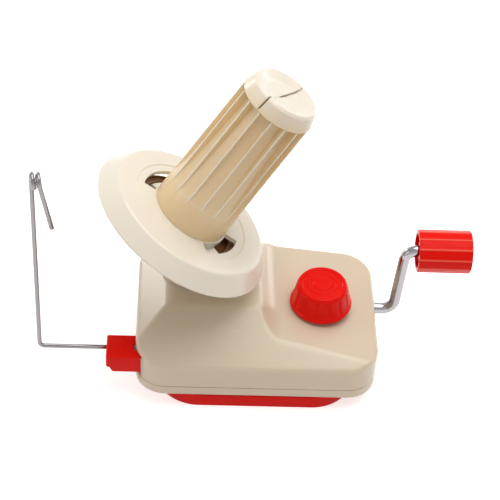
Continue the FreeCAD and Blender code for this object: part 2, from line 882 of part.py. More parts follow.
# -------------------------------------------------------- bearing tower and sun
tower = turned("bearing_tower", ON_AXIS, [
    ("bush_outer + fit_clearance", "tower_foot"),
    ("tower_radius", "tower_foot"),
    ("tower_radius", "flange_bottom"),
    ("tower_flange_radius", "flange_bottom"),
    ("tower_flange_radius", "flange_top"),
    ("tower_radius", "flange_top"),
    ("tower_radius", "tower_shoulder"),
    ("spigot_radius", "tower_shoulder"),
    ("spigot_radius", "sun_toe"),
    ("bush_outer + fit_clearance", "sun_toe"),
    ("bush_outer + fit_clearance", "sun_toe - bush_length"),
    ("shaft_radius + 0.6", "sun_toe - bush_length"),
    ("shaft_radius + 0.6", "tower_foot + bush_length"),
    ("bush_outer + fit_clearance", "tower_foot + bush_length"),
])
holes = new_sketch(tower, "XY_Plane", "flange_bottom - 1")
draw_circle(holes, "tower_screw_circle", "0", "screw_radius + 0.15")
bolt_hole = pocket(tower, holes, "tower_flange + 2", reverse=True)
polar(tower, [bolt_hole], 3)
keep(tower)

SUN_TURN = spin(0, 0, 1, 180 + HEADING) * FLIP
PLANET_TURN = TILT_TURN * FLIP * spin(0, 0, 1, 180 / SIZES["planet_teeth"])
keep(bevel_gear(
    "sun_gear", seated("axis_x", "axis_y", "apex_height", SUN_TURN), "sun_teeth",
    "sun_cone_length", "sun_cone", "sun_face", "spigot_radius + fit_clearance", "sun_backing",
    "sun_cone_length * sin(sun_cone) - 1.2",
))
keep(tube("main_bush_lower", ON_AXIS, "shaft_bore", "bush_outer", "tower_foot", "tower_foot + bush_length"))
keep(tube("main_bush_upper", ON_AXIS, "shaft_bore", "bush_outer", "sun_toe - bush_length", "sun_toe"))


# ----------------------------------------------------------------- crank bushes
def crank_bush(label, low, high):
    """A bush of the crank between two places along X."""
    return keep(tube(label, ON_CRANK, "rod_bore", "rod_bore + bearing_wall", low, high))


crank_bush("crank_bush_outer", "half_width - crank_boss_length", "half_width + 0.6")
crank_bush("crank_bush_inner", "rib_x - rib_thickness / 2 - 0.4", "rib_x + rib_thickness / 2 + 0.4")
keep(tube("knob_washer", ON_KNOB, "stem_radius + 0.35", "washer_radius", "knob_seat",
          "knob_seat + washer_thickness"))
keep(screw("arm_screw", "pivot_x", "pivot_y", "arm_top - arm_recess + 0.2", "0",
           "(arm_top - arm_recess + 0.2 - 1.6)", "pivot_screw_radius", "arm_screw_head_radius",
           "arm_recess - 0.6"))

# ------------------------------------------------------------------------ rotor
keep(turned("main_shaft", ON_AXIS, [
    ("0", "pinion_toe - 0.3"),
    ("pinion_seat_radius", "pinion_toe - 0.3"),
    ("pinion_seat_radius", "tower_foot - 0.3"),
    ("shaft_radius", "tower_foot - 0.3"),
    ("shaft_radius", "hub_top - 0.2"),
    ("0", "hub_top - 0.2"),
]))
shaft_body = pieces[-1]
pin_hole = new_sketch(shaft_body, "XZ_Plane")
draw_circle(pin_hole, "0", "hub_foot + 3.5", "pin_radius")
pocket(shaft_body, pin_hole, "20", midplane=True)

keep(bevel_gear(
    "pinion", seated("axis_x", "axis_y", "crank_height", spin(0, 0, 1, 180 / SIZES["pinion_teeth"])),
    "pinion_teeth", "crank_cone_length", "pinion_cone", "crank_face",
    "pinion_seat_radius", "tower_foot - pinion_heel - 0.4", "crank_module * pinion_teeth / 2 - 0.7",
))
keep(tube("thrust_washer", ON_AXIS, "shaft_radius + 0.1", "hub_radius - 0.4",
          "hub_foot - 1", "hub_foot"))

hub = cylinder("carrier_hub", "axis_x", "axis_y", "hub_foot", "hub_top", "hub_radius")
sleeve = tube("carrier_sleeve", ON_TILT, "0", "sleeve_radius", "-sleeve_low", "-sleeve_high")
web = new_body("carrier_web", seated("axis_x", "axis_y", "0", spin(0, 0, 1, HEADING)))
pad(web, draw_polygon(new_sketch(web), [
    ("-hub_radius * 0.5", "hub_foot + 1"),
    ("hub_radius * 0.8", "hub_foot + 1"),
    ("hub_radius * 0.8", "hub_top - 1"),
    ("sleeve_high * -sin(tilt) + 2", "apex_height - sleeve_high * cos(tilt) - 1.5"),
    ("sleeve_high * -sin(tilt) - 2", "apex_height - sleeve_high * cos(tilt) - 1.5"),
    ("-sleeve_low * sin(tilt)", "apex_height - sleeve_low * cos(tilt) + 2"),
]), "4", midplane=True)
carrier_solid = joined("carrier_solid", [hub, sleeve, web])
carrier_bores = joined("carrier_bores", [
    cylinder("shaft_room", "axis_x", "axis_y", "hub_foot - 1", "hub_top", "shaft_radius"),
    tube("axle_room", ON_TILT, "0", "bush_outer + fit_clearance", "-sleeve_low - 1", "-sleeve_high + 1"),
])
pin_room = doc.addObject("Part::Cylinder", "pin_room")
bind(pin_room, "Radius", "pin_radius")
bind(pin_room, "Height", "hub_radius * 2 + 2")
place(pin_room, seated("axis_x", "axis_y + hub_radius + 1", "hub_foot + 3.5", spin(1, 0, 0, 90)))
keep(cut("carrier", carrier_solid, joined("carrier_holes", [carrier_bores, pin_room])))

carrier_pin = doc.addObject("Part::Cylinder", "carrier_pin")
bind(carrier_pin, "Radius", "pin_radius - 0.01")
bind(carrier_pin, "Height", "hub_radius * 2 - 0.4")
place(carrier_pin, seated("axis_x", "axis_y + hub_radius - 0.2", "hub_foot + 3.5", spin(1, 0, 0, 90)))
keep(carrier_pin)

axle_bushes = joined("axle_bushes", [
    tube("axle_bush_low", ON_TILT, "shaft_bore", "bush_outer", "-sleeve_low", "-sleeve_low + bush_length"),
    tube("axle_bush_high", ON_TILT, "shaft_bore", "bush_outer", "-sleeve_high - bush_length", "-sleeve_high"),
])
keep(axle_bushes)

# ---------------------------------------------------------------------- spindle
keep(turned("axle", ON_TILT, [
    ("0", "-axle_bottom"),
    ("shaft_radius - 0.4", "-axle_bottom"),
    ("shaft_radius", "-axle_bottom + 0.4"),
    ("shaft_radius", "-planet_heel - sun_backing - 1.3"),
    ("shaft_radius - 0.5", "-planet_heel - sun_backing - 1.3"),
    ("shaft_radius - 0.5", "-planet_heel - sun_backing - 0.3"),
    ("shaft_radius", "-planet_heel - sun_backing - 0.3"),
    ("shaft_radius", "axle_top - 0.4"),
    ("shaft_radius - 0.4", "axle_top"),
    ("0", "axle_top"),
]))
keep(bevel_gear(
    "planet_gear", seated("axis_x", "axis_y", "apex_height", PLANET_TURN), "planet_teeth",
    "sun_cone_length", "planet_cone", "sun_face", "shaft_radius", "sun_backing",
    "sun_cone_length * sin(planet_cone) - 1.2",
))
keep(clip("axle_clip", ON_TILT, "-planet_heel - sun_backing - 1.2", "shaft_radius - 0.5",
          "shaft_radius + 2", "0.8"))

disc_slope = "((disc_radius - disc_face_radius) / disc_depth)"
keep(turned("disc", ON_TILT, [
    ("shaft_radius", "-disc_step"),
    ("disc_step_radius", "-disc_step"),
    ("disc_step_radius", "0"),
    ("disc_face_radius - 0.8", "0"),
    ("disc_face_radius", "-0.5"),
    ("disc_radius", "-disc_depth"),
    ("disc_radius - disc_wall", "-disc_depth"),
    (f"disc_face_radius - disc_wall + {disc_slope} * disc_wall", "-disc_wall - 0.6"),
    ("disc_face_radius - disc_wall - 1.5", "-disc_wall"),
    ("disc_step_radius - 1", "-disc_wall"),
    ("disc_step_radius - 1.8", "-disc_wall - disc_step"),
    ("disc_hub_radius", "-disc_wall - disc_step"),
    ("disc_hub_radius", "-disc_hub"),
    ("shaft_radius", "-disc_hub"),
]))
disc = pieces[-1]


def arc_window(body, middle):
    """A curved slot through the disc with square ends, between two radii."""
    sketch = new_sketch(body, "XY_Plane", "1")
    low = f"({middle} - window_sweep / 2)"
    high = f"({middle} + window_sweep / 2)"
    zero = FreeCAD.Vector(0, 0, 0)
    up = FreeCAD.Vector(0, 0, 1)
    for radius in ("window_inner", "window_outer"):
        arc = Part.ArcOfCircle(
            Part.Circle(zero, up, number(radius)),
            math.radians(number(low)), math.radians(number(high)),
        )
        index = sketch.addGeometry(arc, False)
        sketch.addConstraint(Sketcher.Constraint("Coincident", index, 3, -1, 1))
        size = sketch.addConstraint(Sketcher.Constraint("Radius", index, number(radius)))
        bind(sketch, f"Constraints[{size}]", radius)
    for point in (1, 2):
        start = sketch.getPoint(0, point)
        end = sketch.getPoint(1, point)
        side = sketch.addGeometry(Part.LineSegment(start, end), False)
        sketch.addConstraint(Sketcher.Constraint("Coincident", side, 1, 0, point))
        sketch.addConstraint(Sketcher.Constraint("Coincident", side, 2, 1, point))
        sketch.addConstraint(Sketcher.Constraint("PointOnObject", -1, 1, side))
        turn = low if point == 1 else high
        across = f"window_inner * cos({turn})"
        pin = sketch.addConstraint(Sketcher.Constraint("DistanceX", -1, 1, 0, point, number(across)))
        bind(sketch, f"Constraints[{pin}]", across)
    return pocket(body, sketch, "disc_hub + 2")


window = arc_window(disc, "window_heading")
polar(disc, [window], 2)

screw_ring = new_sketch(disc, "XY_Plane", "1")
draw_circle(screw_ring, "spindle_screw_circle", "0", "screw_radius + 0.15")
disc_hole = pocket(disc, screw_ring, "disc_hub + 2")
polar(disc, [disc_hole], 3)

spindle_floor = "(spindle_foot + spindle_wall + 0.6)"
core_top = "(collar_foot - collar_gap)"
spindle = turned("spindle", ON_TILT, [
    ("shaft_radius", "spindle_foot"),
    ("spindle_radius", "spindle_foot"),
    ("spindle_radius - 0.15", "spindle_band - 1"),
    ("spindle_radius - 1.0", "spindle_band"),
    ("core_top_radius", core_top),
    ("core_top_radius - spindle_wall", core_top),
    ("spindle_radius - 0.8 - spindle_wall", "spindle_band - 1"),
    ("spindle_radius - 0.4 - spindle_wall", spindle_floor),
    ("spindle_hub_radius", spindle_floor),
    ("spindle_hub_radius", "axle_top - 1"),
    ("shaft_radius", "axle_top - 1"),
])
rib_sketch = draw_polygon(new_sketch(spindle), [
    ("spindle_radius - 3", "spindle_band - 2.5"),
    ("spindle_radius - 0.3", "spindle_band - 2.5"),
    ("spindle_shoulder", core_top),
    ("core_top_radius - 1", core_top),
    ("spindle_radius - 1.8", "spindle_band - 1"),
])
fin = pad(spindle, rib_sketch, "fin_thickness", midplane=True)
polar(spindle, [fin], "fin_count")
bosses = new_sketch(spindle, "XY_Plane", "spindle_foot")
draw_circle(bosses, "spindle_screw_circle", "0", "boss_radius - 0.5")
boss = pad(spindle, bosses, "9")
polar(spindle, [boss], 3)
boss_hole = new_sketch(spindle, "XY_Plane", "spindle_foot - 0.5")
draw_circle(boss_hole, "spindle_screw_circle", "0", "screw_radius + 0.02")
drill = pocket(spindle, boss_hole, "8", reverse=True)
polar(spindle, [drill], 3)
keep(spindle)

tip = turned("tip_blank", ON_TILT, [
    ("0", "collar_foot"),
    ("core_top_radius - spindle_wall - 2", "collar_foot"),
    ("core_top_radius - spindle_wall - 2", "collar_foot - plug_depth"),
    ("core_top_radius - spindle_wall - 0.05", "collar_foot - plug_depth"),
    ("core_top_radius - spindle_wall - 0.05", "collar_foot"),
    ("spindle_shoulder - 0.1", "collar_foot"),
    ("spindle_tip_radius + 0.4", "spindle_length - 1.2"),
    ("spindle_tip_radius - 0.9", "spindle_length"),
    ("spindle_tip_radius - 1.8", "spindle_length"),
    ("spindle_tip_radius * 0.55", "spindle_length - dish_depth * 0.75"),
    ("0", "spindle_length - dish_depth"),
])
slit = new_body("slit_tool", ON_TILT)
slit.Placement.Rotation = TILT_TURN * spin(0, 0, 1, number("slit_heading"))
pad(slit, draw_box(new_sketch(slit, "XY_Plane", "collar_foot + slit_floor"),
                   "-spindle_radius - 1", "spindle_radius + 1", "-yarn_slit / 2", "yarn_slit / 2"),
    "spindle_collar + 2")
keep(cut("spindle_tip", tip, slit))


def tilted_screw(n, angle):
    """A screw up through the disc into the spindle's foot."""
    body = new_body(f"spindle_screw_{n}", ON_TILT)
    low = "-disc_wall - disc_step"
    corners = [
        ("0", f"{low} - screw_head"), ("screw_head_radius * 0.8", f"{low} - screw_head"),
        ("screw_head_radius", f"{low} - screw_head * 0.5"), ("screw_head_radius", low),
        ("screw_radius", low), ("screw_radius", "spindle_foot + 6"), ("0", "spindle_foot + 6"),
    ]
    revolve(body, draw_polygon(new_sketch(body), corners))
    x = f"spindle_screw_circle * cos({angle})"
    y = f"spindle_screw_circle * sin({angle})"
    offset = TILT_TURN.multVec(FreeCAD.Vector(number(x), number(y), 0))
    body.Placement.Base = body.Placement.Base + offset
    for axis, along in zip("xyz", (
        f"({x}) * cos(tilt) * cos(heading) - ({y}) * sin(heading)",
        f"({x}) * cos(tilt) * sin(heading) + ({y}) * cos(heading)",
        f"-({x}) * sin(tilt)",
    )):
        start = {"x": "axis_x", "y": "axis_y", "z": "base_z + apex_height"}[axis]
        bind(body, f"Placement.Base.{axis}", f"{start} + {along}")
    return body


screw_set("spindle_screws", [tilted_screw(n, angle) for n, angle in enumerate((0, 120, 240), start=1)])

# ------------------------------------------------------------------------ crank
crank = new_body("crank_rod", seated("0", "axis_y", "crank_height"))
path = new_sketch(crank)


def bent_path(sketch, corners, radius):
    """Straight legs between corners, joined by tangent arcs of one radius."""
    points = [FreeCAD.Vector(number(x), number(y), 0) for x, y in corners]
    bend = number(radius)
    start = points[0]
    legs = []
    arcs = []
    for before, corner, after in zip(points, points[1:], points[2:]):
        into = (corner - before).normalize()
        out = (after - corner).normalize()
        reach = bend * math.tan(into.getAngle(out) / 2)
        legs.append((start, corner - into * reach))
        start = corner + out * reach
        arcs.append((corner - into * reach, corner, start))
    legs.append((start, points[-1]))
    order = []
    for n, leg in enumerate(legs):
        order.append(sketch.addGeometry(Part.LineSegment(*leg), False))
        if n < len(arcs):
            low, corner, high = arcs[n]
            chord = (low + high) * 0.5
            centre = corner + (chord - corner) * (bend ** 2 + (corner - low).Length ** 2) ** 0.5 \
                * (1 / (chord - corner).Length)
            middle = centre + (corner - centre).normalize() * bend
            order.append(sketch.addGeometry(Part.Arc(low, middle, high), False))
    return order


bent_path(path, [
    ("crank_end_x", "0"),
    ("crank_foot_x", "0"),
    ("crank_foot_x + crank_lean", "crank_throw"),
    ("rod_end_x", "crank_throw"),
], "crank_bend")
profile = crank.newObject("Sketcher::SketchObject", "crank_profile")
profile.AttachmentSupport = [(origin_feature(crank, "YZ_Plane"), "")]
profile.MapMode = "FlatFace"
bind(profile, "AttachmentOffset.Base.z", "crank_end_x")
draw_circle(profile, "0", "0", "rod_radius")
pipe = crank.newObject("PartDesign::AdditivePipe", "crank_pipe")
pipe.Profile = profile
pipe.Spine = path
keep(crank)

drive_hub = "(crank_pitch_radius - 3.6)"
keep(bevel_gear(
    "drive_gear", seated("axis_x", "axis_y", "crank_height", ALONG_X), "crank_teeth",
    "crank_cone_length", "crank_cone", "crank_face", "rod_radius", "3.4", drive_hub,
))
bush_end = "(rib_thickness / 2 + 0.4 + jaw_gap)"
screw_set("crank_clips", [
    clip("crank_clip_left", ON_CRANK, f"rib_x - {bush_end} - 0.8", "rod_radius", "rod_radius + 2", "0.8"),
    clip("crank_clip_right", ON_CRANK, f"rib_x + {bush_end}", "rod_radius", "rod_radius + 2", "0.8"),
])

# ------------------------------------------------------------------------- grip
ON_PIN = seated("0", "axis_y", "crank_pin", ALONG_X)
sleeve_end = "(rod_end_x - 1.9)"
grip = turned("grip", ON_PIN, [
    ("grip_radius - grip_wall", "grip_start"),
    ("grip_radius", "grip_start"),
    ("grip_radius", "grip_end - 1.6"),
    ("grip_radius - 0.5", "grip_end - 0.6"),
    ("grip_radius - 1.6", "grip_end"),
    ("0", "grip_end + 0.3"),
    ("0", "grip_end - grip_end_wall"),
    ("grip_radius - grip_wall", "grip_end - grip_end_wall"),
])
web_sketch = draw_box(new_sketch(grip), "grip_sleeve_radius - 0.6", "grip_radius - grip_wall + 0.5",
                      "grip_start + 1.6", sleeve_end)
grip_web = pad(grip, web_sketch, "1.4", midplane=True)
polar(grip, [grip_web], 6)
revolve(grip, draw_box(new_sketch(grip), "rod_bore", "grip_sleeve_radius", "grip_start + 1", sleeve_end))
flute_sketch = new_sketch(grip, "XY_Plane", "grip_start - 1")
draw_circle(flute_sketch, "(grip_radius + 0.5) * cos(15)", "(grip_radius + 0.5) * sin(15)",
            "grip_flute_radius")
flute = pocket(grip, flute_sketch, "grip_length + 3", reverse=True)
polar(grip, [flute], "grip_flutes")
keep(grip)
keep(clip("grip_retainer", ON_PIN, f"{sleeve_end} + 0.3", "rod_radius", "rod_radius + 2", "0.9"))

# ------------------------------------------------------------------- clamp knob
thrust = "(washer_radius - 0.4)"
knob = turned("knob", ON_KNOB, [
    ("knob_base_radius - knob_wall", "knob_foot"),
    ("knob_base_radius", "knob_foot"),
    ("knob_base_radius", "knob_foot + 1.4"),
    ("knob_base_radius - 0.6", "knob_foot + 2.0"),
    ("knob_top_radius + 0.1", "knob_top - 1.6"),
    ("knob_top_radius - 0.4", "knob_top - 0.5"),
    ("knob_top_radius - 1.4", "knob_top"),
    ("knob_top_radius - 2.6", "knob_top"),
    ("knob_top_radius - 3.0", "knob_top - 0.5"),
    ("knob_ring_radius + 0.4", "knob_top - 0.5"),
    ("knob_ring_radius", "knob_top - 0.1"),
    ("0", "knob_top - 0.1"),
    ("0", "knob_top - knob_wall"),
    ("thread_radius + 0.4", "knob_top - knob_wall"),
    ("thread_radius + 0.4", "nut_foot + nut_length"),
    ("nut_radius", "nut_foot + nut_length"),
    ("nut_radius", "stem_foot"),
    ("stem_radius", "stem_foot"),
    ("stem_radius", "knob_foot"),
    (thrust, "knob_foot"),
    (thrust, "knob_top - knob_wall"),
    ("knob_top_radius - knob_wall", "knob_top - knob_wall"),
])
side = "(knob_base_radius - 0.6 - knob_top_radius - 0.1)"
flute_sketch = draw_polygon(new_sketch(knob), [
    ("knob_base_radius + 1", "knob_foot + 2.2"),
    ("knob_base_radius - 0.6 - knob_flute_depth", "knob_foot + 2.2"),
    ("knob_top_radius + 0.1 - knob_flute_depth", "knob_top - 1.6"),
    ("knob_top_radius + 0.3", "knob_top - 0.4"),
    ("knob_base_radius + 1", "knob_top - 0.4"),
])
flute = pocket(knob, flute_sketch, "knob_flute_width", midplane=True)
polar(knob, [flute], "knob_flutes")
keep(knob)
keep(tube("clamp_nut", ON_KNOB, "thread_radius + rod_clearance", "nut_radius", "nut_foot",
          "nut_foot + nut_length"))

# -------------------------------------------------------------------- clamp jaw
keep(turned("clamp_rod", ON_KNOB, [
    ("0", "jaw_low + 0.8"),
    ("rod_spigot_radius", "jaw_low + 0.8"),
    ("rod_spigot_radius", "jaw_top - 2"),
    ("thread_radius", "jaw_top - 2"),
    ("thread_radius", "rod_top - 0.6"),
    ("thread_radius - 0.6", "rod_top"),
    ("0", "rod_top"),
]))
flat_sketch = draw_box(new_sketch(pieces[-1]), "rod_flat", "thread_radius + 1", "jaw_top - 2", "rod_top + 1")
flat = pocket(pieces[-1], flat_sketch, "thread_radius * 3", midplane=True)
polar(pieces[-1], [flat], 2)


def jaw_slab(label, inset, low, high):
    """The jaw's rounded plan, drawn in by an inset, between two heights."""
    body = new_body(label, seated("0", "0", f"({low})"))
    across = f"(jaw_width / 2 - ({inset}))"
    deep = f"(jaw_depth / 2 - ({inset}))"
    pad(body, draw_box(new_sketch(body, "XY_Plane"), f"-{across}", across, f"-{deep}", deep),
        f"({high}) - ({low})")
    round_edges(body, is_upright, f"jaw_corner - ({inset})")
    return body


jaw_tray = cut(
    "jaw_tray",
    jaw_slab("jaw_outside", "0", "jaw_low", "jaw_top"),
    jaw_slab("jaw_inside", "jaw_rim", "jaw_low - 1", "jaw_top - jaw_plate"),
)
jaw_ribs = common("jaw_ribs", jaw_slab("jaw_limit", "0.5", "jaw_low", "jaw_top - 0.5"), joined("jaw_grid", [
    block(f"jaw_rib_x{n}", "-jaw_width / 2", "jaw_width / 2", f"{y} - 1", f"{y} + 1",
          "jaw_low", "jaw_top - 0.5")
    for n, y in enumerate(("-18", "0", "18"), start=1)
] + [
    block(f"jaw_rib_y{n}", f"{x} - 1", f"{x} + 1", "-jaw_depth / 2", "jaw_depth / 2",
          "jaw_low", "jaw_top - 0.5")
    for n, x in enumerate(("-32", "-10.7", "10.7", "knob_x"), start=1)
] + [cylinder("rod_boss", "knob_x", "knob_y", "jaw_low", "jaw_top - 0.5", "rod_boss_radius")]))
rod_socket = common(
    "rod_socket",
    cylinder("socket_round", "knob_x", "knob_y", "jaw_top - 2", "jaw_top + 1", "thread_radius"),
    block("socket_flats", "knob_x - rod_flat", "knob_x + rod_flat", "-10", "10",
          "jaw_top - 2", "jaw_top + 1"),
)
nut_room = "(rod_nut_across / 2 / cos(30) + 0.3)"
jaw_holes = joined("jaw_holes", [
    rod_socket,
    cylinder("spigot_hole", "knob_x", "knob_y", "jaw_low - 1", "jaw_top",
             "rod_spigot_radius + fit_clearance"),
    cylinder("nut_recess", "knob_x", "knob_y", "jaw_low - 1", "jaw_low + rod_nut_height + 0.9", nut_room),
])
keep(cut("clamp_jaw", joined("jaw_solid", [jaw_tray, jaw_ribs]), jaw_holes))

rod_nut = new_body("rod_nut", ON_KNOB)
hexagon = new_sketch(rod_nut, "XY_Plane", "jaw_low + 0.9")
draw_polygon(hexagon, [
    (f"rod_nut_across / 2 / cos(30) * cos({angle})", f"rod_nut_across / 2 / cos(30) * sin({angle})")
    for angle in range(0, 360, 60)
])
draw_circle(hexagon, "0", "0", "rod_spigot_radius")
pad(rod_nut, hexagon, "rod_nut_height")
keep(rod_nut)
keep(cut(
    "jaw_pad",
    jaw_slab("pad_outside", "pad_margin", "jaw_top", "jaw_top + pad_thickness"),
    cylinder("pad_hole", "knob_x", "knob_y", "jaw_top - 1", "jaw_top + 3", "thread_radius + 1.5"),
))

# -------------------------------------------------------------------- guide arm
arm_block = new_body("arm_block", ON_PIVOT)
side_view = draw_polygon(new_sketch(arm_block), [
    ("-arm_reach", "arm_bottom + 3.2"),
    ("-arm_reach + 1.6", "arm_bottom + 3.2"),
    ("-arm_reach + 3.2", "arm_bottom"),
    ("0", "arm_bottom"),
    ("0", "arm_top"),
    ("-arm_reach", "arm_top"),
])
pad(arm_block, side_view, "arm_half_width * 2", midplane=True)
round_edges(arm_block, lambda edge: edge.Vertexes[0].Point.x < number("-arm_reach") + 0.1
            and edge.Vertexes[-1].Point.x < number("-arm_reach") + 0.1, "0.8")
wire_tunnel = doc.addObject("Part::Cylinder", "wire_tunnel")
bind(wire_tunnel, "Radius", "wire_radius + running_clearance")
bind(wire_tunnel, "Height", "arm_reach")
place(wire_tunnel, seated("pivot_x - wire_inner_end + 0.6", "pivot_y + wire_offset", "wire_height",
                          spin(0, 1, 0, -90)))
keep(cut(
    "guide_arm",
    joined("arm_solid", [
        arm_block,
        cylinder("arm_head", "pivot_x", "pivot_y", "arm_bottom", "arm_top", "arm_half_width"),
        cylinder("arm_hub", "pivot_x", "pivot_y", "arm_hub_bottom", "arm_bottom + 1", "arm_hub_radius"),
    ]),
    joined("arm_cuts", [
        cylinder("pivot_bore", "pivot_x", "pivot_y", "0", "arm_top + 1",
                 "pivot_screw_radius + rod_clearance"),
        cylinder("screw_recess", "pivot_x", "pivot_y", "arm_top - arm_recess", "arm_top + 1",
                 "arm_screw_head_radius + 0.35"),
        wire_tunnel,
        block("clip_slot", "pivot_x - clip_slot_start - 3.2", "pivot_x - clip_slot_start",
              "pivot_y + wire_offset - 2.9", "pivot_y + wire_offset + 2.9",
              "arm_bottom - 1", "wire_height + 2.9"),
    ]),
))
keep(clip("wire_clip",
          seated("pivot_x - clip_slot_start - 2.2", "pivot_y + wire_offset", "wire_height", ALONG_X),
          "0", "wire_radius", "wire_radius + 1.5", "1.2"))


# -------------------------------------------------------------------- yarn wire
def spot(x, y, z):
    """A point of the yarn wire, counted from the arm's pivot."""
    return FreeCAD.Vector(
        number("pivot_x") + x, number("pivot_y + wire_offset") + y, number("base_z + wire_height") + z
    )


def wire_line():
    """The wire's centre line: leg, upright, one and a half coils, and a leaning tail."""
    reach, rise, bend = number("wire_reach"), number("wire_rise"), number("wire_bend")
    coil, step = number("loop_radius"), number("loop_pitch") / 2
    quarter = bend * (1 - math.sqrt(0.5))
    runs = [
        Part.LineSegment(spot(-number("wire_inner_end"), 0, 0), spot(-reach + bend, 0, 0)),
        Part.Arc(spot(-reach + bend, 0, 0), spot(-reach + quarter, 0, quarter), spot(-reach, 0, bend)),
        Part.LineSegment(spot(-reach, 0, bend), spot(-reach, 0, rise)),
    ]
    half_chord = math.hypot(step, 2 * coil) / 2
    for turn, (near, far, over) in enumerate(((0, -2, 1), (-2, 0, -1), (0, -2, 1))):
        x = -reach + turn * step
        start = spot(x, near * coil, rise)
        middle = spot(x + step / 2, -coil, rise + over * half_chord)
        end = spot(x + step, far * coil, rise)
        runs.append(Part.Arc(start, middle, end))
    lean = math.radians(number("tail_lean"))
    sweep = number("tail_bend")
    x, y = -reach + 3 * step, -2 * coil

    def leaning(angle):
        return spot(x + sweep * (1 - math.cos(angle)), y, rise - sweep * math.sin(angle))

    runs.append(Part.Arc(leaning(0), leaning(lean / 2), leaning(lean)))
    tail = FreeCAD.Vector(math.sin(lean), 0, -math.cos(lean)) * number("tail_length")
    runs.append(Part.LineSegment(leaning(lean), leaning(lean) + tail))
    return Part.Wire([run.toShape() for run in runs])


line = wire_line()
ring = Part.Wire([Part.makeCircle(number("wire_radius"), spot(-number("wire_inner_end"), 0, 0),
                                  FreeCAD.Vector(-1, 0, 0))])
yarn_wire = doc.addObject("Part::Feature", "yarn_wire")
yarn_wire.Label = "yarn_wire"
yarn_wire.Shape = line.makePipeShell([ring], True, True)
keep(yarn_wire)

# ---------------------------------------------------------- checks and exporting
doc.recompute()
for thing in doc.Objects:
    if "Invalid" in thing.State or "Error" in thing.State:
        raise RuntimeError(f"{thing.Name} could not be made: {thing.State}")
os.makedirs("parts", exist_ok=True)
for piece in pieces:
    if piece.Shape.isNull() or not piece.Shape.isValid():
        raise RuntimeError(f"{piece.Label} is not a sound solid")
    piece.Shape.exportStep(f"parts/{piece.Label}.step")
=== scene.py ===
"""Looks of a hand-cranked yarn cone winder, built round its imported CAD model.

Lengths in this file are millimetres in the CAD model's frame (+X towards the crank,
-Y towards the user, +Z up), and become metres only when a mesh is written.
"""

import json
import logging
import math
from dataclasses import dataclass, field, replace
from enum import Enum
from functools import cache
from typing import Callable, Sequence

import bpy
import bmesh
import numpy as np
from mathutils import Matrix, Vector


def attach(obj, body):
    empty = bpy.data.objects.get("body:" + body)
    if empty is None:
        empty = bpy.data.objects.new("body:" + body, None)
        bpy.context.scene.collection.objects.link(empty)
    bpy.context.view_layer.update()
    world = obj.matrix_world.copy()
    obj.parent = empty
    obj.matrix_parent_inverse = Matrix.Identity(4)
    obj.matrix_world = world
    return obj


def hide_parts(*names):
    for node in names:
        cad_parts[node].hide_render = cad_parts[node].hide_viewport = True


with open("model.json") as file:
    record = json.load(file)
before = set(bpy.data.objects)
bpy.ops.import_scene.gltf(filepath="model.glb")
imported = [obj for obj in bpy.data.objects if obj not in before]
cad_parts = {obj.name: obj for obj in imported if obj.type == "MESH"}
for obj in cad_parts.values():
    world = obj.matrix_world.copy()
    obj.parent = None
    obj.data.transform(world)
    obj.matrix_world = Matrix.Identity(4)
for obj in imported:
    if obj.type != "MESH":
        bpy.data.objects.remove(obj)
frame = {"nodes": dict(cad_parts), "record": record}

LOG = logging.getLogger("yarn_winder")
MM = 0.001
FRAME_WIDTH = 500     # pixels across the image
SENSOR_WIDTH = 36.0
BASE_Z = 8.8          # the housing's underside above the floor
PAINTED_LIGHT = "sunk"         # mesh attribute that mixes in a finish's painted light: painted shade on the cone, a painted highlight on the grip
MERGE = 2e-6          # metres under which two points of a skin become one
TINY = 1e-6           # the same for a CAD node's points, and for edges that vanish
FLAT_TURN = 1.0       # degrees under which two CAD faces are one
WHITE = (1.0, 1.0, 1.0)
MIX_FIRST, MIX_SECOND, MIX_RESULT = 6, 7, 2  # a Mix node's colour sockets

Array = np.ndarray
Triple = tuple[float, float, float]
Profile = Sequence[tuple[float, ...]]
Socket = bpy.types.NodeSocket


class Body(str, Enum):
    """The moving groups of the CAD model that new pieces ride on."""

    BASE = "base"
    CRANK = "crank"
    GRIP = "grip"
    SPINDLE = "spindle_unit"
    KNOB = "clamp_knob"
    CLAMP = "clamp"
    ARM = "arm"
    WIRE = "yarn_guide"


class Slot(str, Enum):
    """The record's material slots."""

    CREAM = "cream_plastic"
    RED = "red_plastic"
    WHITE = "white_plastic"
    CHROME = "chrome"
    STEEL = "steel"
    BRASS = "brass"
    BRONZE = "bronze"
    RUBBER = "black_rubber"


class Special(str, Enum):
    """Finishes that single pieces wear in place of their slot's."""

    CONE = "cone"
    PLATE = "plate"
    RING = "ring"
    WIRE = "wire"
    GRIP = "grip"


# --------------------------------------------------------------------------- finishes


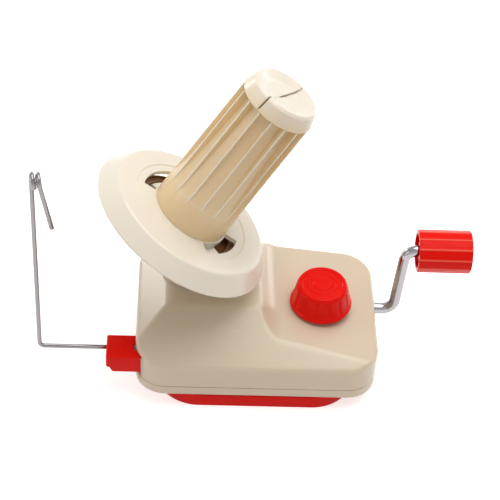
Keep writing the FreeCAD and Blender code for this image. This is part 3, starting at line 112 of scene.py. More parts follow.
class ShaderGraph:
    """Adds nodes and links to one node tree."""

    def __init__(self, tree: bpy.types.NodeTree) -> None:
        """Keeps the tree that the nodes go into."""
        self.tree = tree

    def fill(self, node: bpy.types.Node, inputs: dict[str | int, object]) -> None:
        """Gives a node its inputs.

        Args:
            node: that gets them.
            inputs: a value to set or a socket to link, by the input's name or place.
        """
        for place, value in inputs.items():
            if isinstance(value, Socket):
                self.tree.links.new(value, node.inputs[place])
            else:
                node.inputs[place].default_value = value

    def node(self, kind: str, inputs: dict[str | int, object] | None = None,
             **settings: object) -> Sequence[Socket]:
        """Adds a node.

        Args:
            kind: the node's type name.
            inputs: its inputs, as fill takes them.
            settings: its other attributes, which are set first.

        Returns:
            The node's outputs.
        """
        made = self.tree.nodes.new(kind)
        for name, value in settings.items():
            setattr(made, name, value)
        self.fill(made, inputs or {})
        return made.outputs

    def maths(self, operation: str, *values: float | Socket) -> Socket:
        """Adds a Math node of numbers and sockets, and returns its result."""
        return self.node("ShaderNodeMath", dict(enumerate(values)), operation=operation)[0]

    def noise(self, place: Socket, scale: float, detail: float) -> Socket:
        """Adds a noise pattern, and returns its value."""
        return self.node("ShaderNodeTexNoise",
                         {"Vector": place, "Scale": scale, "Detail": detail})["Fac"]

    def mixed(self, share: Socket, first: Triple, second: Triple) -> Socket:
        """Adds a mix of two colours by a share, and returns the colour."""
        inputs = {"Factor": share, MIX_FIRST: (*first, 1.0), MIX_SECOND: (*second, 1.0)}
        return self.node("ShaderNodeMix", inputs, data_type="RGBA")[MIX_RESULT]


def new_material(name: str) -> tuple[bpy.types.Material, ShaderGraph]:
    """Makes a material with nodes, and the graph that adds to them."""
    made = bpy.data.materials.new(name)
    made.use_nodes = True
    return made, ShaderGraph(made.node_tree)


def effect_group(name: str, **amounts: str) -> tuple[ShaderGraph, Sequence[Socket], bpy.types.Node]:
    """Starts a shared effect that gives a tint, a height and a scuff.

    Args:
        name: of the node group.
        amounts: its inputs beside Vector, each with its kind, Float or Vector.

    Returns:
        The group's graph, the sockets that its inputs come from, and its output node.
    """
    tree = bpy.data.node_groups.new(name, "ShaderNodeTree")
    for label, kind in {"Vector": "Vector", **amounts}.items():
        tree.interface.new_socket(label, in_out="INPUT", socket_type="NodeSocket" + kind)
    for label in ("Tint", "Height", "Scuff"):
        tree.interface.new_socket(label, in_out="OUTPUT", socket_type="NodeSocketFloat")
    graph = ShaderGraph(tree)
    return graph, graph.node("NodeGroupInput"), tree.nodes.new("NodeGroupOutput")


@cache
def moulded_effect() -> bpy.types.NodeTree:
    """The effect of moulded plastic: faint flow clouds, fine grain and handling scuffs.

    Tint = 1 + clouds x (noise - 1/2); height = grain x fine noise; scuff = scuffs x 60 x a
    stretched noise raised to the 9th power, so that only its crests remain.

    Returns:
        The node group.
    """
    clouds_a_metre, grains_a_metre, scuffs_a_metre = 38.0, 1900.0, (90.0, 700.0, 260.0)
    graph, given, results = effect_group("moulded_surface", Clouds="Float", Grain="Float",
                                         Scuffs="Float")
    place = given["Vector"]
    cloud = graph.maths("SUBTRACT", graph.noise(place, clouds_a_metre, 3.0), 0.5)
    grain = graph.noise(place, grains_a_metre, 2.0)
    stretched = graph.node("ShaderNodeMapping", {
        "Vector": place, "Scale": scuffs_a_metre, "Rotation": (0.4, 0.7, 0.5)})["Vector"]
    crest = graph.maths("POWER", graph.noise(stretched, 1.0, 4.0), 9.0)
    strong = graph.maths("MULTIPLY", crest, 60.0)
    graph.fill(results, {
        "Tint": graph.maths("MULTIPLY_ADD", cloud, given["Clouds"], 1.0),
        "Height": graph.maths("MULTIPLY", grain, given["Grain"]),
        "Scuff": graph.maths("MULTIPLY", strong, given["Scuffs"])})
    return graph.tree


@cache
def drawn_effect() -> bpy.types.NodeTree:
    """The effect of drawn or turned metal: one noise, stretched along the tool's marks.

    Tint = 1.07 - 0.14 x noise; height = noise; scuff = marks x noise.

    Returns:
        The node group.
    """
    graph, given, results = effect_group("drawn_metal", Spacing="Vector", Marks="Float")
    stretched = graph.node("ShaderNodeVectorMath", {0: given["Vector"], 1: given["Spacing"]},
                           operation="MULTIPLY")[0]
    mark = graph.noise(stretched, 1.0, 3.0)
    graph.fill(results, {
        "Tint": graph.maths("MULTIPLY_ADD", mark, -0.14, 1.07),
        "Height": mark,
        "Scuff": graph.maths("MULTIPLY", mark, given["Marks"])})
    return graph.tree


@dataclass(frozen=True)
class Finish:
    """What every finish has.

    Attributes:
        name: the material's name.
        colour: linear red, green and blue.
        roughness: of the surface between its scuffs or marks.
    """

    name: str
    colour: Triple
    roughness: float

    def surface(self, effect: bpy.types.NodeTree, amounts: dict[str, object], bump: float,
                constants: dict[str, object], hollow: Triple | None = None) -> bpy.types.Material:
        """Builds a material: colour x tint, roughness + scuff, and a bump from the height.

        Args:
            effect: the shared node group.
            amounts: the group's inputs beside Vector.
            bump: strength of the bump, in which a height of 1 is 0.02 mm.
            constants: inputs of the shader that are the same all over.
            hollow: painted light colour where the mesh's "sunk" attribute is 1: painted shade on
                the cone, a painted highlight on the grip's ribs.

        Returns:
            The finished material.
        """
        made, graph = new_material(self.name)
        made.diffuse_color = (*self.colour, 1.0)
        place = graph.node("ShaderNodeTexCoord")["Object"]
        marks = graph.node("ShaderNodeGroup", {"Vector": place, **amounts}, node_tree=effect)
        colour = self.colour
        # Painted light: the mesh's attribute mixes in a second colour, painted shade on the cone
        # and collar and a painted highlight on the grip's ribs.
        if hollow is not None:
            depth = graph.node("ShaderNodeAttribute", attribute_name=PAINTED_LIGHT)["Fac"]
            colour = graph.mixed(depth, self.colour, hollow)
        tinted = graph.node("ShaderNodeVectorMath", {0: colour, "Scale": marks["Tint"]},
                            operation="SCALE")
        relief = graph.node("ShaderNodeBump", {
            "Strength": bump, "Distance": 0.02 * MM, "Height": marks["Height"]})
        graph.fill(made.node_tree.nodes["Principled BSDF"], {
            "Base Color": tinted[0],
            "Roughness": graph.maths("ADD", marks["Scuff"], self.roughness),
            "Normal": relief["Normal"], **constants})
        return made


@dataclass(frozen=True)
class MouldedPlastic(Finish):
    """Injection-moulded plastic with a clear gloss.

    Attributes:
        clouds, grain, scuffs: strengths of the shared moulding effect.
        glow: subsurface weight, the light that wanders inside the plastic.
        reach: subsurface radius for red, green and blue, in millimetres.
        specular: reflection level of the gloss.
        hollow: painted light colour where the mesh's "sunk" attribute is 1 (painted shade on the
            cone, a painted highlight on the grip's ribs); the colour itself when left out.
    """

    clouds: float = 0.05
    grain: float = 1.0
    scuffs: float = 0.02
    glow: float = 0.0
    reach: Triple = (3.0, 2.0, 1.0)
    specular: float = 0.5
    hollow: Triple | None = None

    def material(self) -> bpy.types.Material:
        """Builds the material."""
        amounts = {"Clouds": self.clouds, "Grain": self.grain, "Scuffs": self.scuffs}
        return self.surface(moulded_effect(), amounts, 0.06, {
            "Specular IOR Level": self.specular, "Subsurface Weight": self.glow,
            "Subsurface Radius": self.reach, "Subsurface Scale": MM}, self.hollow)


@dataclass(frozen=True)
class Metal(Finish):
    """Bare or plated metal with drawn or turned marks.

    Attributes:
        marks: how much the marks roughen it.
        spacing: number of marks in a metre, along each axis.
    """

    marks: float
    spacing: Triple = (300.0, 2400.0, 2400.0)

    def material(self) -> bpy.types.Material:
        """Builds the material."""
        return self.surface(drawn_effect(), {"Spacing": self.spacing, "Marks": self.marks}, 0.05,
                            {"Metallic": 1.0})


# The housing's cream and the plate's paler cream are one plastic. The housing's copy is darkened as
# painted shade, and the plate's copy is the lit one.
SHADED_HOUSING_CREAM = MouldedPlastic("cream_gloss_shaded", (0.735, 0.63, 0.485), 0.18, clouds=0.04, glow=0.25,
                               reach=(3.4, 1.9, 0.8))
LIT_PLATE_CREAM = replace(SHADED_HOUSING_CREAM, name="plate_cream_lit", colour=(0.86, 0.80, 0.70),
                      roughness=0.2, clouds=0.03, glow=0.2)
RED_GLOSS = MouldedPlastic("red_gloss", (0.86, 0.006, 0.002), 0.2, clouds=0.08, scuffs=0.03,
                           glow=0.1, reach=(2.0, 0.3, 0.2), specular=0.1)

FINISHES: dict[Slot | Special, MouldedPlastic | Metal] = {
    Slot.CREAM: SHADED_HOUSING_CREAM,
    Slot.RED: RED_GLOSS,
    Slot.WHITE: MouldedPlastic("white_gear_plastic", (0.70, 0.66, 0.58), 0.38, clouds=0.06,
                               grain=1.5, glow=0.1),
    Slot.CHROME: Metal("bright_plate", (0.42, 0.41, 0.43), 0.06, 0.08, (900.0, 2600.0, 2600.0)),
    Slot.STEEL: Metal("turned_steel", (0.56, 0.56, 0.57), 0.26, 0.22),
    Slot.BRASS: Metal("turned_brass", (0.78, 0.55, 0.22), 0.24, 0.2),
    Slot.BRONZE: Metal("sintered_bronze", (0.60, 0.40, 0.20), 0.36, 0.25,
                       (2200.0, 2200.0, 2200.0)),
    Slot.RUBBER: MouldedPlastic("black_rubber", (0.025, 0.025, 0.026), 0.7, clouds=0.2,
                                grain=6.0),
    # The cone's hollow colour is painted shade: tan in the hollows between the ridges and on the
    # foot.
    Special.CONE: replace(LIT_PLATE_CREAM, name="fluted_cream_painted_shade", roughness=0.26, clouds=0.04,
                          scuffs=0.003, hollow=(0.84, 0.63, 0.34)),
    Special.PLATE: LIT_PLATE_CREAM,
    # The ring's very dark brown is partly the part's own brown and partly painted shade of the deep
    # recess under the windows.
    Special.RING: MouldedPlastic("brown_ring_and_painted_shade", (0.20, 0.085, 0.02), 0.3, clouds=0.3,
                                 scuffs=0.1),
    Special.WIRE: Metal("drawn_wire", (0.30, 0.285, 0.295), 0.16, 0.12, (2600.0, 2600.0, 900.0)),
    # The grip's hollow colour is a painted highlight: pale red along the ribs' backs.
    Special.GRIP: replace(RED_GLOSS, name="ribbed_red", hollow=(0.95, 0.17, 0.10)),
}


class Wardrobe:
    """Makes each finish once and puts it on the CAD nodes."""

    def __init__(self) -> None:
        """Builds all the materials."""
        self.materials = {key: finish.material() for key, finish in FINISHES.items()}

    def dress_nodes(self) -> None:
        """Gives every CAD node its slot's material."""
        slots = {part["node"]: part["material_slot"] for part in frame["record"]["subparts"]}
        for name, thing in frame["nodes"].items():
            material = self.materials[Slot(slots[name])]
            if not thing.material_slots:
                thing.data.materials.append(material)
            for place in thing.material_slots:
                place.material = material
            LOG.info("dressed node %s in %s", name, material.name)


# ---------------------------------------------------------------------- shaping tools


def slope(degrees: float) -> float:
    """Rise over run at an angle."""
    return math.tan(math.radians(degrees))


def ramp(value: Array, width: float = 1.0) -> Array:
    """Value / width, held between 0 and 1."""
    return np.clip(value / width, 0.0, 1.0)


def eased(share: Array) -> Array:
    """A share that starts and ends softly: s x s x (3 - 2 s)."""
    return share * share * (3 - 2 * share)


def off_nearest(angles: Array, first: float, step: float) -> Array:
    """How far each angle is from the nearest of even marks, of which one is at first."""
    return np.abs((angles - first + step / 2) % step - step / 2)


def circle_angles(count: int) -> Array:
    """Even angles round a full circle, the last one left out."""
    return np.linspace(0.0, 2 * math.pi, count, endpoint=False)


def rounded(corners: Profile, steps: int = 8) -> Array:
    """An outline whose inner corners are arcs.

    An arc of radius r starts r x tan(turn / 2) before its corner and ends as far behind it.

    Args:
        corners: (across, up) or (across, up, radius) of each corner.
        steps: segments in each arc.

    Returns:
        The points of the outline, one row each.
    """
    spots = np.array([corner[:2] for corner in corners], dtype=float)
    runs = [spots[:1]]
    for before, corner, after, wish in zip(spots, spots[1:], spots[2:], corners[1:]):
        radius = wish[2] if len(wish) > 2 else 0.0
        into, out = corner - before, after - corner
        into, out = into / np.linalg.norm(into), out / np.linalg.norm(out)
        turn = math.acos(max(-1.0, min(1.0, float(into @ out))))
        if radius == 0.0 or turn < 0.001:
            runs.append(corner[None])
            continue
        inward = (out - into) / np.linalg.norm(out - into)
        centre = corner + inward * radius / math.cos(turn / 2)
        spoke = corner - into * radius * math.tan(turn / 2) - centre
        swing = np.sign(into[0] * out[1] - into[1] * out[0]) * np.linspace(0.0, turn, steps + 1)
        runs.append(centre + np.column_stack([
            spoke[0] * np.cos(swing) - spoke[1] * np.sin(swing),
            spoke[0] * np.sin(swing) + spoke[1] * np.cos(swing)]))
    runs.append(spots[-1:])
    return np.concatenate(runs)


def resampled(line: Array, count: int) -> Array:
    """Points at even steps of length along a line.

    Args:
        line: its points, one row each.
        count: of the points wanted.

    Returns:
        The new points.
    """
    steps = np.linalg.norm(np.diff(line, axis=0), axis=1)
    reach = np.concatenate([[0.0], np.cumsum(steps)])
    wanted = np.linspace(0.0, reach[-1], count)
    return np.column_stack([np.interp(wanted, reach, column) for column in line.T])


def turned(radius: Array, angles: Array, height: Array | float) -> Array:
    """Points about Z: x = r cos a, y = r sin a, z = h, each value spread over the grid.

    Args:
        radius: of each row, or of each point.
        angles: of each column, or of each point.
        height: of each row, or of all.

    Returns:
        The grid of points, rows by columns by three.
    """
    x, y = radius * np.cos(angles), radius * np.sin(angles)
    return np.stack([x, y, np.broadcast_to(height, x.shape)], axis=-1)


def revolved(outline: Array, angles: Array, drop: Array | float = 0.0) -> Array:
    """A surface of revolution about Z, of radius and height rows, drawn in by drop."""
    return turned(outline[:, :1] - drop, angles, outline[:, 1:2])


def swept(path: Array, radius: float, aside: Triple, columns: int) -> Array:
    """A round rod along a path: point = path + radius x (cos a x side + sin a x other).

    Side is the given vector less its part along the path, and other is square to both.

    Args:
        path: the points of the centre line.
        radius: of the rod.
        aside: a vector that is never parallel to the path.
        columns: points round the rod.

    Returns:
        The grid of points, with a small rounding and a closing point at both ends.
    """
    along = np.gradient(path, axis=0)
    along /= np.linalg.norm(along, axis=1, keepdims=True)
    side = np.array(aside) - along * (along @ np.array(aside))[:, None]
    side /= np.linalg.norm(side, axis=1, keepdims=True)
    other = np.cross(along, side)
    soft = radius * 0.25
    path = np.concatenate([path[:1], path[:1], path[:1] + along[:1] * soft, path[1:-1],
                           path[-1:] - along[-1:] * soft, path[-1:], path[-1:]])
    side, other = (np.concatenate([rows[:1]] * 2 + [rows] + [rows[-1:]] * 2)
                   for rows in (side, other))
    widths = np.full(len(path), radius)
    widths[[0, -1]] = 0.0
    widths[[1, -2]] = radius - soft
    angles = circle_angles(columns)[None, :, None]
    ring = np.cos(angles) * side[:, None] + np.sin(angles) * other[:, None]
    return path[:, None] + ring * widths[:, None, None]


@dataclass(frozen=True)
class Seat:
    """Where a piece's own axes stand: an origin and the directions of its x, y and z."""

    origin: Triple
    axes: tuple[Triple, ...] = ((1, 0, 0), (0, 1, 0), (0, 0, 1))

    def place(self, points: Array) -> Array:
        """Origin + x x first axis + y x second + z x third."""
        return points @ np.array(self.axes, dtype=float) + np.array(self.origin)

    def local(self, points: Array) -> Array:
        """The reverse of place: each point's distances along the three axes."""
        return (points - np.array(self.origin)) @ np.array(self.axes, dtype=float).T


def leaning_seat(x: float, y: float, z: float, lean: float, heading: float) -> Seat:
    """A seat that leans over.

    Args:
        x, y, z: its origin.
        lean: its z axis's angle from upright, in degrees.
        heading: that it leans towards, in degrees from +X.

    Returns:
        The seat.
    """
    c, s = math.cos(math.radians(lean)), math.sin(math.radians(lean))
    ch, sh = math.cos(math.radians(heading)), math.sin(math.radians(heading))
    return Seat((x, y, z), ((c * ch, c * sh, -s), (-sh, ch, 0.0), (s * ch, s * sh, c)))


SPINDLE_SEAT = leaning_seat(x=-34.3, y=10.0, z=77.2 + BASE_Z, lean=31.6, heading=9.0)
CRANK_Y = 10.0


@dataclass
class Skin:
    """Grids of points that become one mesh."""

    points: list[Array] = field(default_factory=list)
    faces: list[Array] = field(default_factory=list)
    count: int = 0

    def grid(self, points: Array, wrap: bool = True, keep: Array | None = None) -> "Skin":
        """Adds a grid with its quads.

        Args:
            points: rows by columns by three.
            wrap: whether the last column joins the first.
            keep: which quads stay, rows less one by columns.

        Returns:
            The skin itself.
        """
        rows, columns = points.shape[:2]
        index = self.count + np.arange(rows * columns).reshape(rows, columns)
        if wrap:
            index = np.concatenate([index, index[:, :1]], axis=1)
        quads = np.stack([index[:-1, :-1], index[:-1, 1:], index[1:, 1:], index[1:, :-1]], axis=-1)
        if keep is not None:
            quads = quads[keep]
        self.points.append(points.reshape(-1, 3))
        self.faces.append(quads.reshape(-1, 4))
        self.count += rows * columns
        return self

    def cap(self, loop: Array) -> "Skin":
        """Adds one flat face.

        Args:
            loop: the points round it.

        Returns:
            The skin itself.
        """
        self.points.append(loop)
        self.faces.append(self.count + np.arange(len(loop))[None])
        self.count += len(loop)
        return self

    def seated(self, seat: Seat) -> "Skin":
        """Moves all points from a seat's own axes into the CAD frame."""
        self.points = [seat.place(points) for points in self.points]
        return self

    def joined(self, other: "Skin") -> "Skin":
        """Adds another skin's points and faces.

        Args:
            other: the skin that is added.

        Returns:
            The skin itself.
        """
        self.points += other.points
        self.faces += [block + self.count for block in other.faces]
        self.count += other.count
        return self

    def mesh(self, name: str, crease: float,
             sunk: Callable[[Array], Array] | None = None) -> bpy.types.Mesh:
        """Writes the mesh: doubles merged, faces outwards, smooth but for edges past the crease.

        Args:
            name: of the mesh.
            crease: angle in degrees from which an edge stays sharp.
            sunk: gives each point's "sunk" attribute, its share of painted light, from its place in
                millimetres.

        Returns:
            The mesh, in metres.
        """
        made = bpy.data.meshes.new(name)
        faces = [face for block in self.faces for face in block.tolist()]
        made.from_pydata((np.concatenate(self.points) * MM).tolist(), [], faces)
        shape = bmesh.new()
        shape.from_mesh(made)
        bmesh.ops.remove_doubles(shape, verts=shape.verts, dist=MERGE)
        bmesh.ops.dissolve_degenerate(shape, dist=TINY, edges=shape.edges)
        bmesh.ops.recalc_face_normals(shape, faces=shape.faces)
        shape.to_mesh(made)
        shape.free()
        # The attribute holds each point's share of painted light: painted shade on the cone and
        # collar, a painted highlight on the grip.
        if sunk is not None:
            places = np.empty(len(made.vertices) * 3)
            made.vertices.foreach_get("co", places)
            depth = made.attributes.new(PAINTED_LIGHT, "FLOAT", "POINT")
            depth.data.foreach_set("value", sunk(places.reshape(-1, 3) / MM))
        return smoothed(made, crease)


def smoothed(mesh: bpy.types.Mesh, crease: float) -> bpy.types.Mesh:
    """Shades a mesh smooth but for edges that turn by more than the crease.

    Args:
        mesh: that is shaded.
        crease: in degrees.

    Returns:
        The same mesh.
    """
    mesh.polygons.foreach_set("use_smooth", np.ones(len(mesh.polygons), dtype=bool))
    mesh.set_sharp_from_angle(angle=math.radians(crease))
    return mesh


def in_scene(name: str, data: bpy.types.ID) -> bpy.types.Object:
    """Makes an object of a mesh, lamp or camera, and links it into the scene."""
    made = bpy.data.objects.new(name, data)
    bpy.context.scene.collection.objects.link(made)
    return made


@dataclass
class Workbench:
    """Turns skins and copies of CAD nodes into finished pieces."""

    wardrobe: Wardrobe

    def finish(self, mesh: bpy.types.Mesh, body: Body, slot: Slot, *nodes: str,
               special: Special | None = None) -> None:
        """Makes the object, gives it its material and body, and hides what it replaces.

        Args:
            mesh: in metres in the CAD frame; its name becomes the piece's.
            body: that the piece rides on.
            slot: of its finish.
            nodes: CAD nodes that it stands for.
            special: its own finish; the slot's when left out.
        """
        piece = in_scene(mesh.name, mesh)
        mesh.materials.clear()
        mesh.materials.append(self.wardrobe.materials[special or slot])
        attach(piece, body.value)
        if nodes:
            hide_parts(*nodes)
        LOG.info("built %s with %d faces", mesh.name, len(mesh.polygons))

    def softened(self, node: str, name: str, body: Body, slot: Slot, width: float,
                 crease: float = 35.0, wanted: Callable[[Array], Array] | None = None) -> None:
        """Makes a copy of a CAD node with rounded edges, which replaces it.

        The copy's loose triangles are merged and its flat faces joined; then each picked edge
        that turns by more than the crease gets a bevel.

        Args:
            node: the CAD node.
            name: of the piece.
            body: that the piece rides on.
            slot: of its finish.
            width: of the bevel, in millimetres.
            crease: angle in degrees from which an edge is rounded.
            wanted: picks edges by their middle points, in millimetres; all when left out.
        """
        shape = bmesh.new()
        shape.from_mesh(frame["nodes"][node].data)
        bmesh.ops.remove_doubles(shape, verts=shape.verts, dist=TINY)
        bmesh.ops.dissolve_limit(shape, angle_limit=math.radians(FLAT_TURN), verts=shape.verts,
                                 edges=shape.edges)
        sharp = [edge for edge in shape.edges
                 if len(edge.link_faces) == 2 and edge.calc_face_angle(0.0) > math.radians(crease)]
        if wanted is not None and sharp:
            middles = np.array([(edge.verts[0].co + edge.verts[1].co) / 2 for edge in sharp]) / MM
            sharp = [edge for edge, chosen in zip(sharp, wanted(middles)) if chosen]
        bmesh.ops.bevel(shape, geom=sharp, offset=width * MM, segments=3, profile=0.6,
                        affect="EDGES", clamp_overlap=True)
        bmesh.ops.triangulate(shape, faces=[f for f in shape.faces if len(f.verts) > 4])
        mesh = bpy.data.meshes.new(name)
        shape.to_mesh(mesh)
        shape.free()
        self.finish(smoothed(mesh, 28.0), body, slot, node)


# -------------------------------------------------------------------------- housing


@dataclass
class Housing:
    """The cream cover: one height field over a rounded plan, with upright walls and a pocket.

    Height = soft minimum of a profile across (left shoulder, roof, steep wall, valley, panel)
    and a profile along (front slope, back slope).  Angles in degrees, heights from the
    housing's underside.  The sections are radius, height and corner radius of turned rings;
    the lips are inset and height above the seam of the cover's lower edge.
    """

    half_width: float = 60.0
    half_depth: float = 40.5
    corner: float = 15.0
    band: float = 5.4
    seam: float = 0.15
    lips: Profile = ((2.4, 3.0), (2.4, 0.0), (0.5, 0.0), (0.12, 0.2))
    roof: float = 36.0
    front_top: float = 18.8
    front_slope: float = 31.2
    left_top: float = 25.0
    left_slope: float = 35.0
    back_top: float = 28.5
    back_slope: float = 38.0
    panel_top: float = 21.0
    panel_slope: float = 6.6
    brow_x: float = 1.6
    brow_slope: float = 64.0
    hip_radius: float = 11.0
    brow_radius: float = 5.0
    valley_radius: float = 12.0
    ridge_width: float = 0.85
    rim_radius: float = 1.5
    pivot: tuple[float, float] = (-57.4, -27.6)
    pocket_radius: float = 7.8
    pocket_top: float = 20.4
    pocket_fold: float = 40.0
    pocket_lip: float = 0.6
    spacing: float = 0.62
    brow_spacing: float = 0.22
    brow_reach: tuple[float, float] = (-4.0, 8.0)
    corner_columns: int = 36
    wall_rows: int = 7
    rim_rows: int = 8
    ring_columns: int = 96
    neck_place: tuple[float, float] = (-34.3, 10.0)
    neck_section: Profile = ((7.8, 34.0), (13.6, 34.0), (13.6, 35.9), (11.0, 36.0, 1.2),
                             (11.0, 42.0, 0.7), (7.8, 42.0, 0.4), (7.8, 34.0))
    seat_place: tuple[float, float] = (32.0, 0.0)
    seat_section: Profile = ((6.4, 21.0), (9.6, 21.0), (9.6, 25.6, 0.4), (6.4, 25.6), (6.4, 21.0))

    def across(self) -> Array:
        """The profile across, with its corners rounded.

        Returns:
            Rows of x and height, from left to right past both walls.
        """
        past = 6.0
        outside = self.half_width + past
        left, panel, brow = (slope(a) for a in (self.left_slope, self.panel_slope,
                                                self.brow_slope))
        hip_x = -self.half_width + (self.roof - self.left_top) / left
        at_brow = self.panel_top + (self.half_width - self.brow_x) * panel
        foot_x = self.brow_x + (self.roof - at_brow) / (brow - panel)
        return rounded([
            (-outside, self.left_top - past * left),
            (hip_x, self.roof, self.hip_radius),
            (self.brow_x, self.roof, self.brow_radius),
            (foot_x, self.panel_top + (self.half_width - foot_x) * panel, self.valley_radius),
            (outside, self.panel_top - past * panel)], steps=24)

    def inset(self, x: Array, y: Array) -> Array:
        """How far points lie inside the plan's rounded outline.

        Args:
            x, y: their places in the plan.

        Returns:
            The distances, below 0 outside.
        """
        over_x = np.abs(x) - self.half_width + self.corner
        over_y = np.abs(y) - self.half_depth + self.corner
        beyond = np.hypot(np.maximum(over_x, 0.0), np.maximum(over_y, 0.0))
        return self.corner - beyond - np.minimum(np.maximum(over_x, over_y), 0.0)

    def height(self, x: Array, y: Array) -> Array:
        """Height of the cover without its rim.

        Soft minimum: min(a, b) - (k - |a - b|)^2 / 4k where |a - b| < k, and k is the ridge's
        width times the slope of a - b, so that every ridge is equally wide.

        Args:
            x, y: places in the plan.

        Returns:
            The heights.
        """
        nudge = 0.05
        profile = self.across().T
        a, ahead, behind = (np.interp(x + step, *profile) for step in (0.0, nudge, -nudge))
        slope_a = (ahead - behind) / (2 * nudge)
        front, back = slope(self.front_slope), slope(self.back_slope)
        rise = self.front_top + (y + self.half_depth) * front
        fall = self.back_top + (self.half_depth - y) * back
        b = np.minimum(rise, fall)
        slope_b = np.where(rise < fall, front, back)
        k = self.ridge_width * 2 * np.hypot(slope_a, slope_b)
        near = np.maximum(k - np.abs(a - b), 0.0)
        return np.minimum(a, b) - near ** 2 / (4 * k)

    def outline(self) -> tuple[Array, int, int]:
        """The plan's outline, anticlockwise from the front edge's left end.

        Front edge, corner, right edge and corner are worked out, and the other half is the
        same half turned round.  Columns are closer at the brow.

        Returns:
            The points, and the columns between which the pocket opens.
        """
        flat_x, flat_y = self.half_width - self.corner, self.half_depth - self.corner
        starts, ends = (self.brow_x + reach for reach in self.brow_reach)
        fine = np.arange(starts, ends, self.brow_spacing)
        coarse = np.arange(-flat_x, flat_x, self.spacing)
        coarse = coarse[(coarse < fine[0] - 0.2) | (coarse > fine[-1] + 0.2)]
        along_x = np.sort(np.concatenate([coarse, fine]))
        fold_y = self.fold_exit()
        along_y = np.sort(np.concatenate([
            np.arange(-flat_y, flat_y, self.spacing * 1.1), [fold_y, -fold_y]]))
        pocket_y = self.pivot[1] - self.pocket_radius
        bite = math.asin((-pocket_y - flat_y) / self.corner)
        quarter = np.linspace(0.0, math.pi / 2, self.corner_columns, endpoint=False)
        bend = np.sort(np.append(quarter, bite))
        mirror = np.sort(np.append(quarter, math.pi / 2 - bite))
        half = np.concatenate([np.column_stack(side) for side in (
            (along_x, np.full_like(along_x, -self.half_depth)),
            (flat_x + self.corner * np.sin(mirror), -flat_y - self.corner * np.cos(mirror)),
            (np.full_like(along_y, self.half_width), along_y),
            (flat_x + self.corner * np.cos(bend), flat_y + self.corner * np.sin(bend)))])
        line = np.concatenate([half, -half])
        opens, shuts = (
            int(np.argmin(np.where(line[:, 0] < -flat_x, np.abs(line[:, 1] - y), np.inf)))
            for y in (fold_y, pocket_y))
        return line, opens, shuts

    def fold_exit(self) -> float:
        """Where the folded arm's back side leaves the left wall.

        Returns:
            The place along Y.
        """
        c, s = math.cos(math.radians(self.pocket_fold)), math.sin(math.radians(self.pocket_fold))
        reach = (self.pivot[0] + self.pocket_radius * s + self.half_width) / c
        return self.pivot[1] + reach * s + self.pocket_radius * c

    def cover(self) -> Skin:
        """The cover: walls, rim and top as one grid, and the pocket's lining.

        Each column runs from the outline towards the plan's middle line; the rim drops by
        R (1 - sqrt(1 - (1 - d / R)^2)) at inset d.

        Returns:
            Its skin, with heights from the housing's underside.
        """
        line, opens, shuts = self.outline()
        spine_half = self.half_width - self.half_depth
        spine = np.column_stack([np.clip(line[:, 0], -spine_half, spine_half),
                                 np.zeros(len(line))])

        # walls: the seam's lip, up to the pocket's top, and up to the rim
        edge = self.height(line[:, 0], line[:, 1]) - self.rim_radius
        middle = np.minimum(self.pocket_top, edge - 0.02)
        low = self.band + 0.4
        rows = [(inset, np.full(len(line), self.band + self.seam + up))
                for inset, up in self.lips]
        pocket_rows = len(rows) + self.wall_rows - 1
        rows += [(0.0, low + (middle - low) * f) for f in np.linspace(0.0, 1.0, self.wall_rows)]
        rows += [(0.0, middle + (edge - middle) * f) for f in (0.34, 0.67)]
        walls = np.stack([
            np.column_stack([line + (spine - line) * (inset / self.half_depth), level])
            for inset, level in rows])

        # top: each column drawn in to the middle line, close together on the rim
        rim = self.rim_radius * (1 - np.cos(np.linspace(0.0, math.pi / 2, self.rim_rows)))
        rest = np.linspace(self.rim_radius, self.half_depth, int(self.half_depth / self.spacing))
        share = (np.concatenate([rim, rest[1:]]) / self.half_depth)[:, None, None]
        plan = line[None] * (1 - share) + spine[None] * share
        x, y = plan[..., 0], plan[..., 1]
        inset = ramp(self.inset(x, y), self.rim_radius)
        z = self.height(x, y) - self.rim_radius * (1 - np.sqrt(1 - (1 - inset) ** 2))
        shell = np.concatenate([walls, np.concatenate([plan, z[..., None]], axis=-1)])
        keep = np.ones((len(shell) - 1, len(line)), dtype=bool)
        keep[:pocket_rows, opens:shuts] = False
        skin = Skin().grid(shell, keep=keep)

        # pocket: the folded arm's side, the round head, and the side in front of the arm
        head = np.linspace(math.radians(90.0 - self.pocket_fold), -math.pi / 2, 26)
        lining = np.concatenate([line[opens][None], np.column_stack([
            self.pivot[0] + self.pocket_radius * np.cos(head),
            self.pivot[1] + self.pocket_radius * np.sin(head)]), line[shuts][None]])
        lining = resampled(lining, shuts - opens + 1)
        sides = np.stack([np.column_stack([lining, np.full(len(lining), level)])
                          for level in (self.band, self.pocket_top - self.pocket_lip,
                                        self.pocket_top)])
        mouth = slice(opens, shuts + 1)
        ceiling = np.stack([sides[-1], np.column_stack([line[mouth], middle[mouth]])])
        return skin.grid(sides, wrap=False).grid(ceiling, wrap=False)

    def ring(self, place: tuple[float, float], section: Profile) -> Skin:
        """A turned ring at a place of the plan, from a closed section."""
        grid = revolved(rounded(section, steps=6), circle_angles(self.ring_columns))
        return Skin().grid(grid).seated(Seat((*place, 0.0)))

    def foot_edges(self, middles: Array) -> Array:
        """Picks the tray's outer edge at its foot, by the edges' middle points."""
        inset = self.inset(middles[:, 0], middles[:, 1])
        return (np.abs(middles[:, 2] - BASE_Z) < 0.02) & (np.abs(inset) < 0.3)

